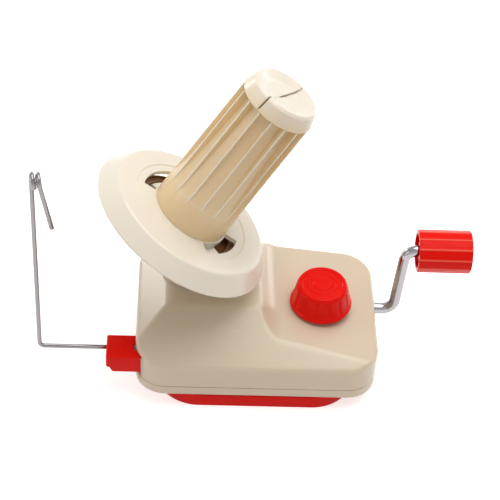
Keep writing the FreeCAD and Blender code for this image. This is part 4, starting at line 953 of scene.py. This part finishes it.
    def build(self, bench: Workbench) -> None:
        """Makes the cover with the neck under the tower and the seat under the knob, and the tray.

        Args:
            bench: that finishes the pieces.
        """
        skin = self.cover().joined(self.ring(self.neck_place, self.neck_section))
        skin.joined(self.ring(self.seat_place, self.seat_section))
        mesh = skin.seated(Seat((0.0, 0.0, BASE_Z))).mesh("housing_cover", 40.0)
        bench.finish(mesh, Body.BASE, Slot.CREAM, "upper_shell")
        bench.softened("lower_shell", "housing_tray", Body.BASE, Slot.CREAM, 0.9,
                       wanted=self.foot_edges)


# ------------------------------------------------------------------ spindle and disc


@dataclass
class Spindle:
    """The fluted winding cone: sixteen slim ridges with flat panels sunk between them.

    Along the tilted axis, heights count from the disc's top face.  Radius = panel + (crest -
    panel) x ridge, where ridge is 1 on a ridge's back and falls to 0 over its flank.
    """

    foot: float = -0.7
    band: float = 13.5
    collar: float = 73.5
    foot_radius: float = 19.75
    band_radius: float = 19.55
    crest_top: float = 18.9
    panel_top: float = 15.1
    ridges: int = 16
    ridge_width: float = 0.7
    flank: float = 0.3
    taper: float = 0.8
    facet_start: float = 0.12
    rows: int = 56
    # Share of painted shade (tan) in the hollows and on the foot, and the length over which it
    # fades out at the foot.
    tan: float = 0.8
    foot_shade_fade: float = 3.0

    def crest(self, rise: Array) -> Array:
        """Radius of the ridges' backs at a share of the way from band to collar."""
        return self.band_radius + (self.crest_top - self.band_radius) * rise

    def skin(self) -> Skin:
        """The cone's closed skin.

        Returns:
            The skin, in the CAD frame.
        """
        sector = 2 * math.pi / self.ridges
        half = self.ridge_width / 2 / self.band_radius
        lip = half + self.flank / self.band_radius
        local = np.concatenate([
            np.linspace(-half, half, 4), np.linspace(half, lip, 5)[1:],
            np.linspace(lip, sector - lip, 8)[1:-1],
            np.linspace(sector - lip, sector - half, 5)[:-1]])
        angles = (local[None] + sector * np.arange(self.ridges)[:, None]).ravel()
        from_ridge = off_nearest(angles, 0.0, sector)

        rise = np.linspace(0.0, 1.0, self.rows)
        heights = self.band + (self.collar - self.band) * rise
        crest = self.crest(rise)
        depth = (crest - self.panel_top) * rise ** self.taper
        ridge = 1 - eased(ramp(from_ridge - half, lip - half))
        facet = math.cos(sector / 2) / np.cos(sector / 2 - from_ridge)
        flat = ramp(rise, self.facet_start)[:, None]
        panel = (crest - depth)[:, None] * (1 - (1 - facet[None]) * flat)
        radius = panel + (crest[:, None] - panel) * ridge[None]

        low = rounded([(0.0, self.foot), (self.foot_radius, self.foot, 0.35),
                       (self.band_radius, self.band)], steps=6)
        top = np.array([[0.0, self.collar]])
        grid = np.concatenate([revolved(low[:-1], angles),
                               turned(radius, angles, heights[:, None]), revolved(top, angles)])
        return Skin().grid(grid).seated(SPINDLE_SEAT)

    def sunk(self, points: Array) -> Array:
        """How much painted shade each point gets, as a tan colour: fully in the hollows and on the
        smooth foot.

        Args:
            points: places in millimetres.

        Returns:
            One share for each point.
        """
        local = SPINDLE_SEAT.local(points)
        rise = ramp(local[:, 2] - self.band, self.collar - self.band)
        below = self.crest(rise) - np.hypot(local[:, 0], local[:, 1])
        foot = self.tan * ramp(self.band + self.foot_shade_fade - local[:, 2], self.foot_shade_fade)
        return np.maximum(np.minimum(ramp(below - 0.04, 0.3), self.tan), foot)

    def build(self, bench: Workbench) -> None:
        """Makes the cone."""
        mesh = self.skin().mesh("winding_cone", 50.0, self.sunk)
        bench.finish(mesh, Body.SPINDLE, Slot.CREAM, "spindle", special=Special.CONE)


@dataclass
class YarnCollar:
    """The cone's collar: dished mouth, soft lip, and one slit right across.

    Each half is a turned surface whose columns run between the slit's two planes:
    angle = a0 + (pi - 2 a0) u with a0 = asin(half slit / radius).
    """

    foot: float = 73.5
    top: float = 82.0
    foot_radius: float = 18.9
    plug_radius: float = 11.2
    plug_depth: float = 5.5
    core: float = 0.78
    shoulder: float = 16.8
    lip: float = 15.4
    dish: float = 2.6
    slit: float = 1.0
    slit_heading: float = 40.0
    web: float = 1.6
    # Share of painted shade (tan) on the collar's outer wall.
    tan: float = 0.5
    columns: int = 72

    def half(self, side: int) -> Skin:
        """One half of the collar.

        Args:
            side: 0 or 1, the half before or behind the slit.

        Returns:
            Its closed skin, in the CAD frame.
        """
        outline = rounded([
            (self.core, self.foot - self.plug_depth),
            (self.plug_radius, self.foot - self.plug_depth),
            (self.plug_radius, self.foot), (self.foot_radius - 0.5, self.foot),
            (self.foot_radius, self.foot + 0.5, 0.4), (self.shoulder + 0.1, self.top - 1.5, 1.4),
            (self.lip + 0.2, self.top, 1.2), (self.lip * 0.62, self.top - self.dish * 0.8, 9.0),
            (self.core, self.top - self.dish)], steps=8)
        radius, height = outline[:, :1], outline[:, 1:2]
        start = np.arcsin(self.slit / 2 / radius)
        angles = start + (math.pi - 2 * start) * np.linspace(0.0, 1.0, self.columns)[None]
        grid = turned(radius, angles + side * math.pi + math.radians(self.slit_heading), height)
        loop = np.concatenate([grid[:, 0], grid[::-1, -1]])
        return Skin().grid(grid, wrap=False).cap(loop).seated(SPINDLE_SEAT)

    def bridge(self) -> Skin:
        """The web that closes the slit under the lip and the dish's near part.

        Its section follows the dish from the lip inwards and comes back a web's thickness
        lower; it is carried straight across the slit.

        Returns:
            Its closed skin, in the CAD frame.
        """
        outer, inner = self.lip - 0.9, self.lip * 0.28
        fall = self.dish * 0.8 / (self.lip * 0.38)
        reach = np.linspace(outer, inner, 12)
        level = self.top - 0.42 - (outer - reach) * fall * 0.93
        level = np.maximum(level, self.top - self.dish * 0.97)
        loop = np.concatenate([np.column_stack([reach, level]),
                               np.column_stack([reach[::-1], level[::-1] - self.web])])
        turn = math.radians(self.slit_heading) + math.pi
        along = np.array([math.cos(turn), math.sin(turn), 0.0])
        aside = np.array([-math.sin(turn), math.cos(turn), 0.0]) * self.slit / 2
        section = loop[:, :1] * along + loop[:, 1:2] * np.array([0.0, 0.0, 1.0])
        sides = np.stack([section - aside, section + aside])
        return Skin().grid(sides).cap(sides[0]).cap(sides[1]).seated(SPINDLE_SEAT)

    def sunk(self, points: Array) -> Array:
        """How much painted shade each point gets, as a tan colour: half way on the outer wall,
        nothing at the lip.

        Args:
            points: places in millimetres.

        Returns:
            One share for each point.
        """
        local = SPINDLE_SEAT.local(points)
        outside = ramp(np.hypot(local[:, 0], local[:, 1]) - self.lip, 1.2)
        return self.tan * outside * ramp(self.top - 0.8 - local[:, 2], 3.5)

    def build(self, bench: Workbench) -> None:
        """Makes both halves and the web as one piece."""
        skin = self.half(0).joined(self.half(1)).joined(self.bridge())
        mesh = skin.mesh("cone_collar", 34.0, self.sunk)
        bench.finish(mesh, Body.SPINDLE, Slot.CREAM, "spindle_tip", special=Special.CONE)


@dataclass
class Plate:
    """The disc under the yarn: raised ring, soft brim, skirt, and two curved windows.

    The sections are radius, height and corner radius of what shows through the windows: the
    cone's foot with a flange, and a dark brown ring with a raised rim half way out, whose darkness
    is partly painted shade.
    """

    bore: float = 3.0
    rim: float = 47.8
    face: float = 40.9
    depth: float = 9.2
    wall: float = 2.2
    step_radius: float = 30.9
    step: float = 0.7
    window: tuple[float, float] = (20.4, 26.9)
    window_sweep: float = 61.0
    window_headings: tuple[float, float] = (-50.0, 130.0)
    hub: tuple[float, float] = (8.0, -6.0)
    columns: int = 240
    first_column: float = 0.003
    ring_columns: int = 144
    ledge_columns: int = 40
    ledge_sweep: tuple[float, float] = (-44.0, 4.0)
    ledge_section: Profile = ((19.4, -2.0), (20.0, -2.0), (20.0, -5.4, 0.5), (24.2, -5.9, 0.4),
                              (24.2, -6.9, 0.3), (19.4, -6.9), (19.4, -2.0))
    ring_section: Profile = (
        (18.4, -8.6), (30.0, -8.6, 0.3), (30.0, -6.8, 0.3), (29.2, -6.8, 0.3), (29.0, -7.8, 0.3),
        (25.6, -7.8, 0.3), (25.4, -5.4, 0.3), (24.7, -5.4, 0.3), (24.4, -7.8, 0.3),
        (19.2, -7.8, 0.2), (19.2, -2.6), (18.4, -2.6), (18.4, -8.6))

    def outline(self) -> Array:
        """The plate's section, from its bore over the top and back.

        Returns:
            Rows of radius and height.
        """
        inner, outer = self.window
        under = -self.wall - self.step
        return rounded([
            (self.bore, self.hub[1]), (self.bore, -self.step), (inner, -self.step),
            (outer, -self.step), (self.step_radius - 0.25, -self.step, 0.3),
            (self.step_radius + 0.25, 0.0, 0.3), (self.face, 0.0, 2.4),
            (self.rim - 0.15, -self.depth + 0.9, 0.7), (self.rim - 0.3, -self.depth, 0.35),
            (self.rim - self.wall + 0.3, -self.depth, 0.3),
            (self.face - self.wall + 1.0, -self.wall, 2.0), (self.step_radius - 0.6, -self.wall),
            (self.step_radius - 1.4, under, 0.6), (outer, under), (inner, under),
            (self.hub[0] + 0.1, under, 0.4), self.hub, (self.bore, self.hub[1])], steps=8)

    def skin(self) -> Skin:
        """The plate with its windows cut and walled; a column stands at each window's end.

        Returns:
            Its skin, on the plate's own axes.
        """
        half = self.window_sweep / 2
        ends = [math.radians(heading + side) % (2 * math.pi)
                for heading in self.window_headings for side in (-half, half)]
        angles = np.sort(np.concatenate([circle_angles(self.columns) + self.first_column, ends]))
        middle = np.degrees((angles + np.append(angles[1:], angles[0] + 2 * math.pi)) / 2)
        open_columns = np.any([off_nearest(middle, heading, 360.0) < half
                               for heading in self.window_headings], axis=0)
        outline = self.outline()
        inner, outer = self.window
        radii = (outline[:-1, 0] + outline[1:, 0]) / 2
        level = np.abs(outline[:-1, 1] - outline[1:, 1]) < 0.001
        open_rows = (radii > inner) & (radii < outer) & level
        skin = Skin().grid(revolved(outline, angles),
                           keep=~(open_rows[:, None] & open_columns[None]))
        heights = np.linspace(-self.step, -self.wall - self.step, 3)
        for heading in self.window_headings:
            low = math.radians(heading - half)
            past = (angles - low) % (2 * math.pi)
            turn = np.sort(past[np.degrees(past) <= self.window_sweep + 0.001]) + low
            for radius in self.window:
                wall = np.column_stack([np.full(3, radius), heights])
                skin.grid(revolved(wall, turn), wrap=False)
            for end in (low, math.radians(heading + half)):
                skin.grid(turned(np.array(self.window)[:, None], np.full(3, end), heights),
                          wrap=False)
        return skin

    def ledges(self) -> Skin:
        """The cone's foot seen through the windows: a short wall with a flange in each.

        Returns:
            Both, on the plate's own axes.
        """
        skin = Skin()
        for heading in self.window_headings:
            start, end = (heading + turn for turn in self.ledge_sweep)
            grid = revolved(rounded(self.ledge_section, steps=5),
                            np.radians(np.linspace(start, end, self.ledge_columns)))
            skin.joined(Skin().grid(grid, wrap=False).cap(grid[:-1, 0]).cap(grid[:-1, -1]))
        return skin

    def build(self, bench: Workbench) -> None:
        """Makes the plate with its ledges, and the ring behind it.

        Args:
            bench: that finishes the pieces.
        """
        plate = self.skin().joined(self.ledges()).seated(SPINDLE_SEAT)
        bench.finish(plate.mesh("yarn_plate", 38.0), Body.SPINDLE, Slot.CREAM, "disc",
                     special=Special.PLATE)
        grid = revolved(rounded(self.ring_section, steps=4), circle_angles(self.ring_columns))
        ring = Skin().grid(grid).seated(SPINDLE_SEAT)
        bench.finish(ring.mesh("window_gear_ring", 40.0), Body.SPINDLE, Slot.BRONZE,
                     special=Special.RING)


# ---------------------------------------------------------------- crank, grip and knob


@dataclass
class Crank:
    """The bent rod: foot, throw and handle shank with equal bends, in the plane y = 10."""

    axis_z: float = 13.0
    start_x: float = -31.2
    foot_x: float = 70.6
    lean: float = 2.4
    throw: float = 41.5
    end_x: float = 101.5
    bend: float = 6.5
    radius: float = 2.8

    def build(self, bench: Workbench) -> None:
        """Sweeps the rod along its rounded path.

        Args:
            bench: that finishes the piece.
        """
        line = rounded([
            (self.start_x, 0.0), (self.foot_x - 14.0, 0.0), (self.foot_x, 0.0, self.bend),
            (self.foot_x + self.lean, self.throw, self.bend), (self.end_x, self.throw)], steps=16)
        path = np.column_stack([line[:, 0], np.full(len(line), CRANK_Y),
                                line[:, 1] + self.axis_z + BASE_Z])
        skin = Skin().grid(swept(path, self.radius, (0.0, 1.0, 0.0), 40))
        bench.finish(skin.mesh("crank_bar", 45.0), Body.CRANK, Slot.CHROME, "crank_rod")


@dataclass
class Grip:
    """The ribbed sleeve on the crank: radius less a shallow channel between slim ribs.

    Its seat's z runs along the handle shank, and start and length count along it.
    """

    start: float = 78.4
    length: float = 26.5
    radius: float = 10.8
    wall: float = 2.4
    end_wall: float = 2.2
    sleeve: float = 4.6
    bore: float = 2.85
    grooves: int = 12
    groove_depth: float = 0.5
    first_groove: float = 28.0
    # Width over which the painted highlight on each rib's back fades out.
    highlight_width: float = 0.6
    columns: int = 264
    seat: Seat = Seat((0.0, CRANK_Y, 54.5 + BASE_Z), ((0, 0, 1), (0, -1, 0), (1, 0, 0)))

    def from_groove(self, angles: Array) -> Array:
        """Each angle's share of the way from a groove's middle to the next rib."""
        sector = 2 * math.pi / self.grooves
        return off_nearest(angles, math.radians(self.first_groove), sector) / (sector / 2)

    def skin(self) -> Skin:
        """The grip, closed at its right end, with its inner sleeve.

        Radius = outline - depth x (1 - share^7), with the share from groove to rib.

        Returns:
            Its skin, in the CAD frame.
        """
        end = self.start + self.length
        inside = end - self.end_wall
        outline = rounded([
            (self.bore, inside - 1.0), (self.bore, self.start + 1.0),
            (self.sleeve, self.start + 1.0, 0.3), (self.sleeve, inside),
            (self.radius - self.wall, inside), (self.radius - self.wall, self.start, 0.5),
            (self.radius, self.start, 0.7), (self.radius, end, 0.5),
            (self.radius * 0.55, end + 0.15, 3.0), (0.0, end + 0.3)], steps=9)
        angles = circle_angles(self.columns)
        groove = self.groove_depth * (1 - self.from_groove(angles) ** 7)
        outer = ramp(outline[:, 0] - (self.radius - 1.5), 1.3)
        outer *= np.arange(len(outline)) > int(np.argmax(outline[:, 0] > self.radius - 1.0)) - 2
        grid = revolved(outline, angles, outer[:, None] * groove[None])
        return Skin().grid(grid).seated(self.seat)

    def painted_rib_highlight(self, points: Array) -> Array:
        """How much painted highlight each point gets: 1 on a rib's back, falling to 0 a short way
        from it.

        Args:
            points: places in millimetres.

        Returns:
            One share for each point.
        """
        local = self.seat.local(points)
        share = self.from_groove(np.arctan2(local[:, 1], local[:, 0]))
        off = (1 - share) * math.pi / self.grooves * self.radius
        outside = np.hypot(local[:, 0], local[:, 1]) > self.radius - 0.8
        return outside * ramp(1 - off / self.highlight_width)

    def build(self, bench: Workbench) -> None:
        """Makes the grip."""
        mesh = self.skin().mesh("crank_grip", 42.0, self.painted_rib_highlight)
        bench.finish(mesh, Body.GRIP, Slot.RED, "grip", special=Special.GRIP)


@dataclass
class Knob:
    """The clamp's knob: fluted skirt that narrows upwards, and rings on its top."""

    place: tuple[float, float] = (32.0, 0.0)
    foot: float = 26.5
    top: float = 39.7
    foot_radius: float = 15.5
    top_radius: float = 12.7
    hollow_radius: float = 8.6
    flutes: int = 14
    flute_depth: float = 0.62
    flute_width: float = 2.9
    flute_rows: int = 12
    stem_radius: float = 6.2
    stem_bore: float = 3.9
    stem_foot: float = 3.0
    columns: int = 308

    def outline(self) -> Array:
        """The knob's section: stem, hollow underside, skirt, and the rings on its top.

        Returns:
            Rows of radius and height.
        """
        base, lid, rim = self.foot, self.top, self.foot_radius
        return rounded([
            (self.stem_bore, self.stem_foot), (self.stem_radius, self.stem_foot),
            (self.stem_radius, base), (self.hollow_radius, base), (self.hollow_radius, base + 6.0),
            (rim - 2.2, base + 2.0), (rim - 2.0, base), (rim, base, 0.3), (rim, base + 1.2, 0.5),
            (rim - 0.75, base + 2.0, 0.4), (self.top_radius + 0.15, lid - 1.7, 0.9),
            (self.top_radius - 0.9, lid, 0.9), (self.top_radius - 2.4, lid, 0.35),
            (self.top_radius - 3.0, lid - 0.5, 0.3), (7.6, lid - 0.5, 0.2), (7.3, lid - 0.2, 0.15),
            (6.9, lid - 0.2, 0.15), (6.6, lid - 0.5, 0.2), (4.6, lid - 0.5, 0.2),
            (4.2, lid - 0.15, 0.2), (0.0, lid - 0.1)], steps=5)

    def with_flutes(self, outline: Array) -> Array:
        """Adds even rows on the section's longest sloping run, where the flutes are.

        Args:
            outline: rows of radius and height.

        Returns:
            The same with the new rows, and each row's share of the flutes' depth.
        """
        jump = np.linalg.norm(np.diff(outline, axis=0), axis=1)
        sloping = (outline[:-1, 0] > self.top_radius) & (outline[1:, 0] > self.top_radius)
        at = int(np.argmax(np.where(sloping, jump, 0.0))) + 1
        shares = np.linspace(0.0, 1.0, self.flute_rows + 2)[1:-1, None]
        rows = outline[at - 1] + (outline[at] - outline[at - 1]) * shares
        fluted = np.column_stack([rows, eased(ramp(np.minimum(shares, 1 - shares), 0.12))])
        plain = np.column_stack([outline, np.zeros(len(outline))])
        return np.concatenate([plain[:at], fluted, plain[at:]])

    def skin(self) -> Skin:
        """The knob: radius less depth x (1 - (off / half width)^2)^1.5 in each flute.

        Returns:
            Its skin, in the CAD frame.
        """
        angles = circle_angles(self.columns)
        off = off_nearest(angles, 0.0, 2 * math.pi / self.flutes) * self.foot_radius
        flute = self.flute_depth * (1 - ramp(off, self.flute_width / 2) ** 2) ** 1.5
        rows = self.with_flutes(self.outline())
        grid = revolved(rows[:, :2], angles, rows[:, 2:3] * flute[None])
        return Skin().grid(grid).seated(Seat((*self.place, BASE_Z)))

    def build(self, bench: Workbench) -> None:
        """Makes the knob."""
        bench.finish(self.skin().mesh("clamp_knob_red", 32.0), Body.KNOB, Slot.RED, "knob")


# -------------------------------------------------------------- yarn guide and clamp


@dataclass
class YarnGuide:
    """The wire: leg along -X, upright, one and a half coils, and a leaning tail."""

    pivot: Triple = (-57.4, -24.2, 15.6 + BASE_Z)
    inner_end: float = 9.0
    reach: float = 49.9
    rise: float = 111.4
    bend: float = 2.5
    coil: float = 3.1
    coil_turns: float = 1.5
    pitch: float = 2.9
    tail_length: float = 25.1
    tail_lean: float = 10.5
    tail_bend: float = 8.0
    radius: float = 1.1

    def line(self) -> Array:
        """The centre line; its coil is a helix about X: x = pitch x turns.

        Returns:
            The points, in the CAD frame.
        """
        leg = rounded([
            (-self.inner_end, 0.0), (-self.reach + 12.0, 0.0), (-self.reach, 0.0, self.bend),
            (-self.reach, 20.0), (-self.reach, self.rise)], steps=14)
        leg = np.column_stack([leg[:, 0], np.zeros(len(leg)), leg[:, 1]])
        turn = np.linspace(0.0, 2 * math.pi * self.coil_turns, 97)[1:]
        helix = np.column_stack([-self.reach + self.pitch * turn / (2 * math.pi),
                                 -self.coil * (1 - np.cos(turn)),
                                 self.rise + self.coil * np.sin(turn)])
        lean = math.radians(self.tail_lean)
        swing = np.linspace(0.0, lean, 9)[1:]
        bow = np.column_stack([1 - np.cos(swing), np.zeros(8), -np.sin(swing)]) * self.tail_bend
        drop = helix[-1] + bow
        tail = drop[-1] + np.array([math.sin(lean), 0.0, -math.cos(lean)]) * self.tail_length
        return np.concatenate([leg, helix, drop, tail[None]]) + np.array(self.pivot)

    def build(self, bench: Workbench) -> None:
        """Sweeps the wire, then rounds the edges of the arm that holds it."""
        skin = Skin().grid(swept(self.line(), self.radius, (0.8, 0.6, 0.0), 24))
        bench.finish(skin.mesh("guide_wire", 45.0), Body.WIRE, Slot.CHROME, "yarn_wire",
                     special=Special.WIRE)
        bench.softened("guide_arm", "guide_arm_red", Body.ARM, Slot.RED, 0.5)


@dataclass
class Clamp:
    """The jaw under the tray, with its edges rounded."""

    edge: float = 0.7

    def build(self, bench: Workbench) -> None:
        """Makes the jaw."""
        bench.softened("clamp_jaw", "clamp_jaw_red", Body.CLAMP, Slot.RED, self.edge, 50.0)


# ----------------------------------------------------------------------------- studio


@dataclass(frozen=True)
class CameraView:
    """The camera's place, from one perspective fit of the object's known sizes.

    The camera looks at target from distance, turned by bearing about +Z and raised by
    elevation; roll turns the image about its centre.
    """

    bearing: float = -3.407
    elevation: float = 43.822
    roll: float = 3.914
    focal_pixels: float = 1707.14
    distance: float = 878.86
    target: Triple = (-3.352, 32.801, 38.8)

    def build(self) -> None:
        """Makes the camera.

        Back axis d = (sin b cos e, -cos b cos e, sin e); the image's right and up axes are the
        level ones turned by the roll.
        """
        b, e, r = (math.radians(a) for a in (self.bearing, self.elevation, self.roll))
        back = Vector((math.sin(b) * math.cos(e), -math.cos(b) * math.cos(e), math.sin(e)))
        level = Vector((math.cos(b), math.sin(b), 0.0))
        rising = back.cross(level)
        right = level * math.cos(r) + rising * math.sin(r)
        up = rising * math.cos(r) - level * math.sin(r)
        lens = bpy.data.cameras.new("studio_camera")
        lens.sensor_width = SENSOR_WIDTH
        lens.lens = self.focal_pixels * SENSOR_WIDTH / FRAME_WIDTH
        lens.clip_start = 0.05
        camera = in_scene("studio_camera", lens)
        turn = Matrix((right, up, back)).transposed().to_4x4()
        place = (Vector(self.target) + back * self.distance) * MM
        camera.matrix_world = Matrix.Translation(place) @ turn
        bpy.context.scene.camera = camera


@dataclass(frozen=True)
class Softbox:
    """One soft white area lamp: where it stands, its size, its power and what it looks at."""

    name: str
    place: Triple
    size: tuple[float, float]
    power: float
    aim: Triple = (0.0, 0.0, 60.0)

    def build(self) -> None:
        """Makes the lamp, turned so that it faces its aim."""
        lamp = bpy.data.lights.new(self.name, "AREA")
        lamp.shape = "RECTANGLE"
        lamp.size, lamp.size_y = (side * MM for side in self.size)
        lamp.energy = self.power
        place = Vector(self.place) * MM
        facing = (Vector(self.aim) * MM - place).to_track_quat("-Z", "Y").to_matrix().to_4x4()
        in_scene(self.name, lamp).matrix_world = Matrix.Translation(place) @ facing


@dataclass(frozen=True)
class Studio:
    """The pale floor, the white surroundings, the lamps and the camera.

    Ambient is the surroundings' strength for scattered light, and warmth its colour; zenith is
    the strength overhead that mirrors show, and fade how it gets there; floor_light is what the
    floor sends to the camera and mirrors beside the light that falls on it.
    """

    view: CameraView = CameraView()
    ambient: float = 0.42
    warmth: Triple = (1.0, 0.94, 0.86)
    zenith: float = 0.25
    fade: float = 0.7
    floor_size: float = 6000.0
    floor_grey: Triple = (0.86, 0.86, 0.86)
    floor_light: float = 0.6
    boxes: tuple[Softbox, ...] = (
        Softbox("overhead", (160.0, 110.0, 900.0), (900.0, 700.0), 5.5),
        Softbox("left_side", (-800.0, -150.0, 420.0), (420.0, 520.0), 1.0),
        Softbox("back_left", (-570.0, 650.0, 250.0), (170.0, 260.0), 0.8),
        Softbox("back_right", (590.0, 640.0, 240.0), (120.0, 420.0), 0.45),
    )

    def world(self) -> None:
        """White to the camera and glass, white fading upwards to mirrors, and warm to the rest.

        Mirrored strength = 1 + (zenith - 1) x |height|^fade, with height from -1 to 1.
        """
        world = bpy.data.worlds.new("studio_world")
        bpy.context.scene.world = world
        world.use_nodes = True
        graph = ShaderGraph(world.node_tree)
        ray = graph.node("ShaderNodeLightPath")
        seen = graph.maths("MAXIMUM", ray["Is Camera Ray"], ray["Is Transmission Ray"])
        direction = graph.node("ShaderNodeTexCoord")["Generated"]
        level = graph.node("ShaderNodeSeparateXYZ", {0: direction})["Z"]
        height = graph.maths("POWER", graph.maths("ABSOLUTE", level), self.fade)
        horizon = graph.maths("MULTIPLY_ADD", height, self.zenith - 1.0, 1.0)
        mirrored = graph.maths("MULTIPLY", ray["Is Glossy Ray"], horizon)
        either = graph.maths("MAXIMUM", seen, mirrored)
        rest = graph.maths("MULTIPLY", graph.maths("SUBTRACT", 1.0, either), self.ambient)
        plain = graph.maths("MAXIMUM", seen, ray["Is Glossy Ray"])
        graph.fill(world.node_tree.nodes["Background"], {
            "Color": graph.mixed(plain, self.warmth, WHITE),
            "Strength": graph.maths("ADD", either, rest)})

    def floor(self) -> None:
        """A wide plain floor that is white to the camera except for the object's soft shadow."""
        half = self.floor_size / 2 * MM
        sheet = bpy.data.meshes.new("studio_floor")
        corners = [(-half, -half, 0), (half, -half, 0), (half, half, 0), (-half, half, 0)]
        sheet.from_pydata(corners, [], [(0, 1, 2, 3)])
        made, graph = new_material("studio_paper")
        nodes = made.node_tree.nodes
        graph.fill(nodes["Principled BSDF"], {
            "Base Color": (*self.floor_grey, 1.0), "Roughness": 0.9, "Specular IOR Level": 0.1})
        ray = graph.node("ShaderNodeLightPath")
        shown = graph.maths("MAXIMUM", ray["Is Camera Ray"], ray["Is Glossy Ray"])
        bright = graph.node("ShaderNodeEmission", {
            "Strength": graph.maths("MULTIPLY", shown, self.floor_light)})
        both = graph.node("ShaderNodeAddShader", {
            0: nodes["Principled BSDF"].outputs[0], 1: bright[0]})
        graph.fill(nodes["Material Output"], {"Surface": both[0]})
        sheet.materials.append(made)
        in_scene("studio_floor", sheet)

    def build(self) -> None:
        """Sets up the whole studio."""
        bpy.context.scene.view_settings.view_transform = "Standard"
        self.world()
        self.floor()
        for box in self.boxes:
            box.build()
        self.view.build()
        LOG.info("studio ready with %d lamps", len(self.boxes))


def main() -> None:
    """Builds the studio, dresses the CAD nodes and adds the modelled pieces."""
    logging.basicConfig(level=logging.INFO, format="%(name)s: %(message)s")
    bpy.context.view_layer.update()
    Studio().build()
    wardrobe = Wardrobe()
    wardrobe.dress_nodes()
    bench = Workbench(wardrobe)
    for assembly in (Housing(), Plate(), Spindle(), YarnCollar(), Crank(), Grip(), Knob(),
                     YarnGuide(), Clamp()):
        assembly.build(bench)
        LOG.info("finished %s", type(assembly).__name__)


if __name__ == "__main__":
    main()
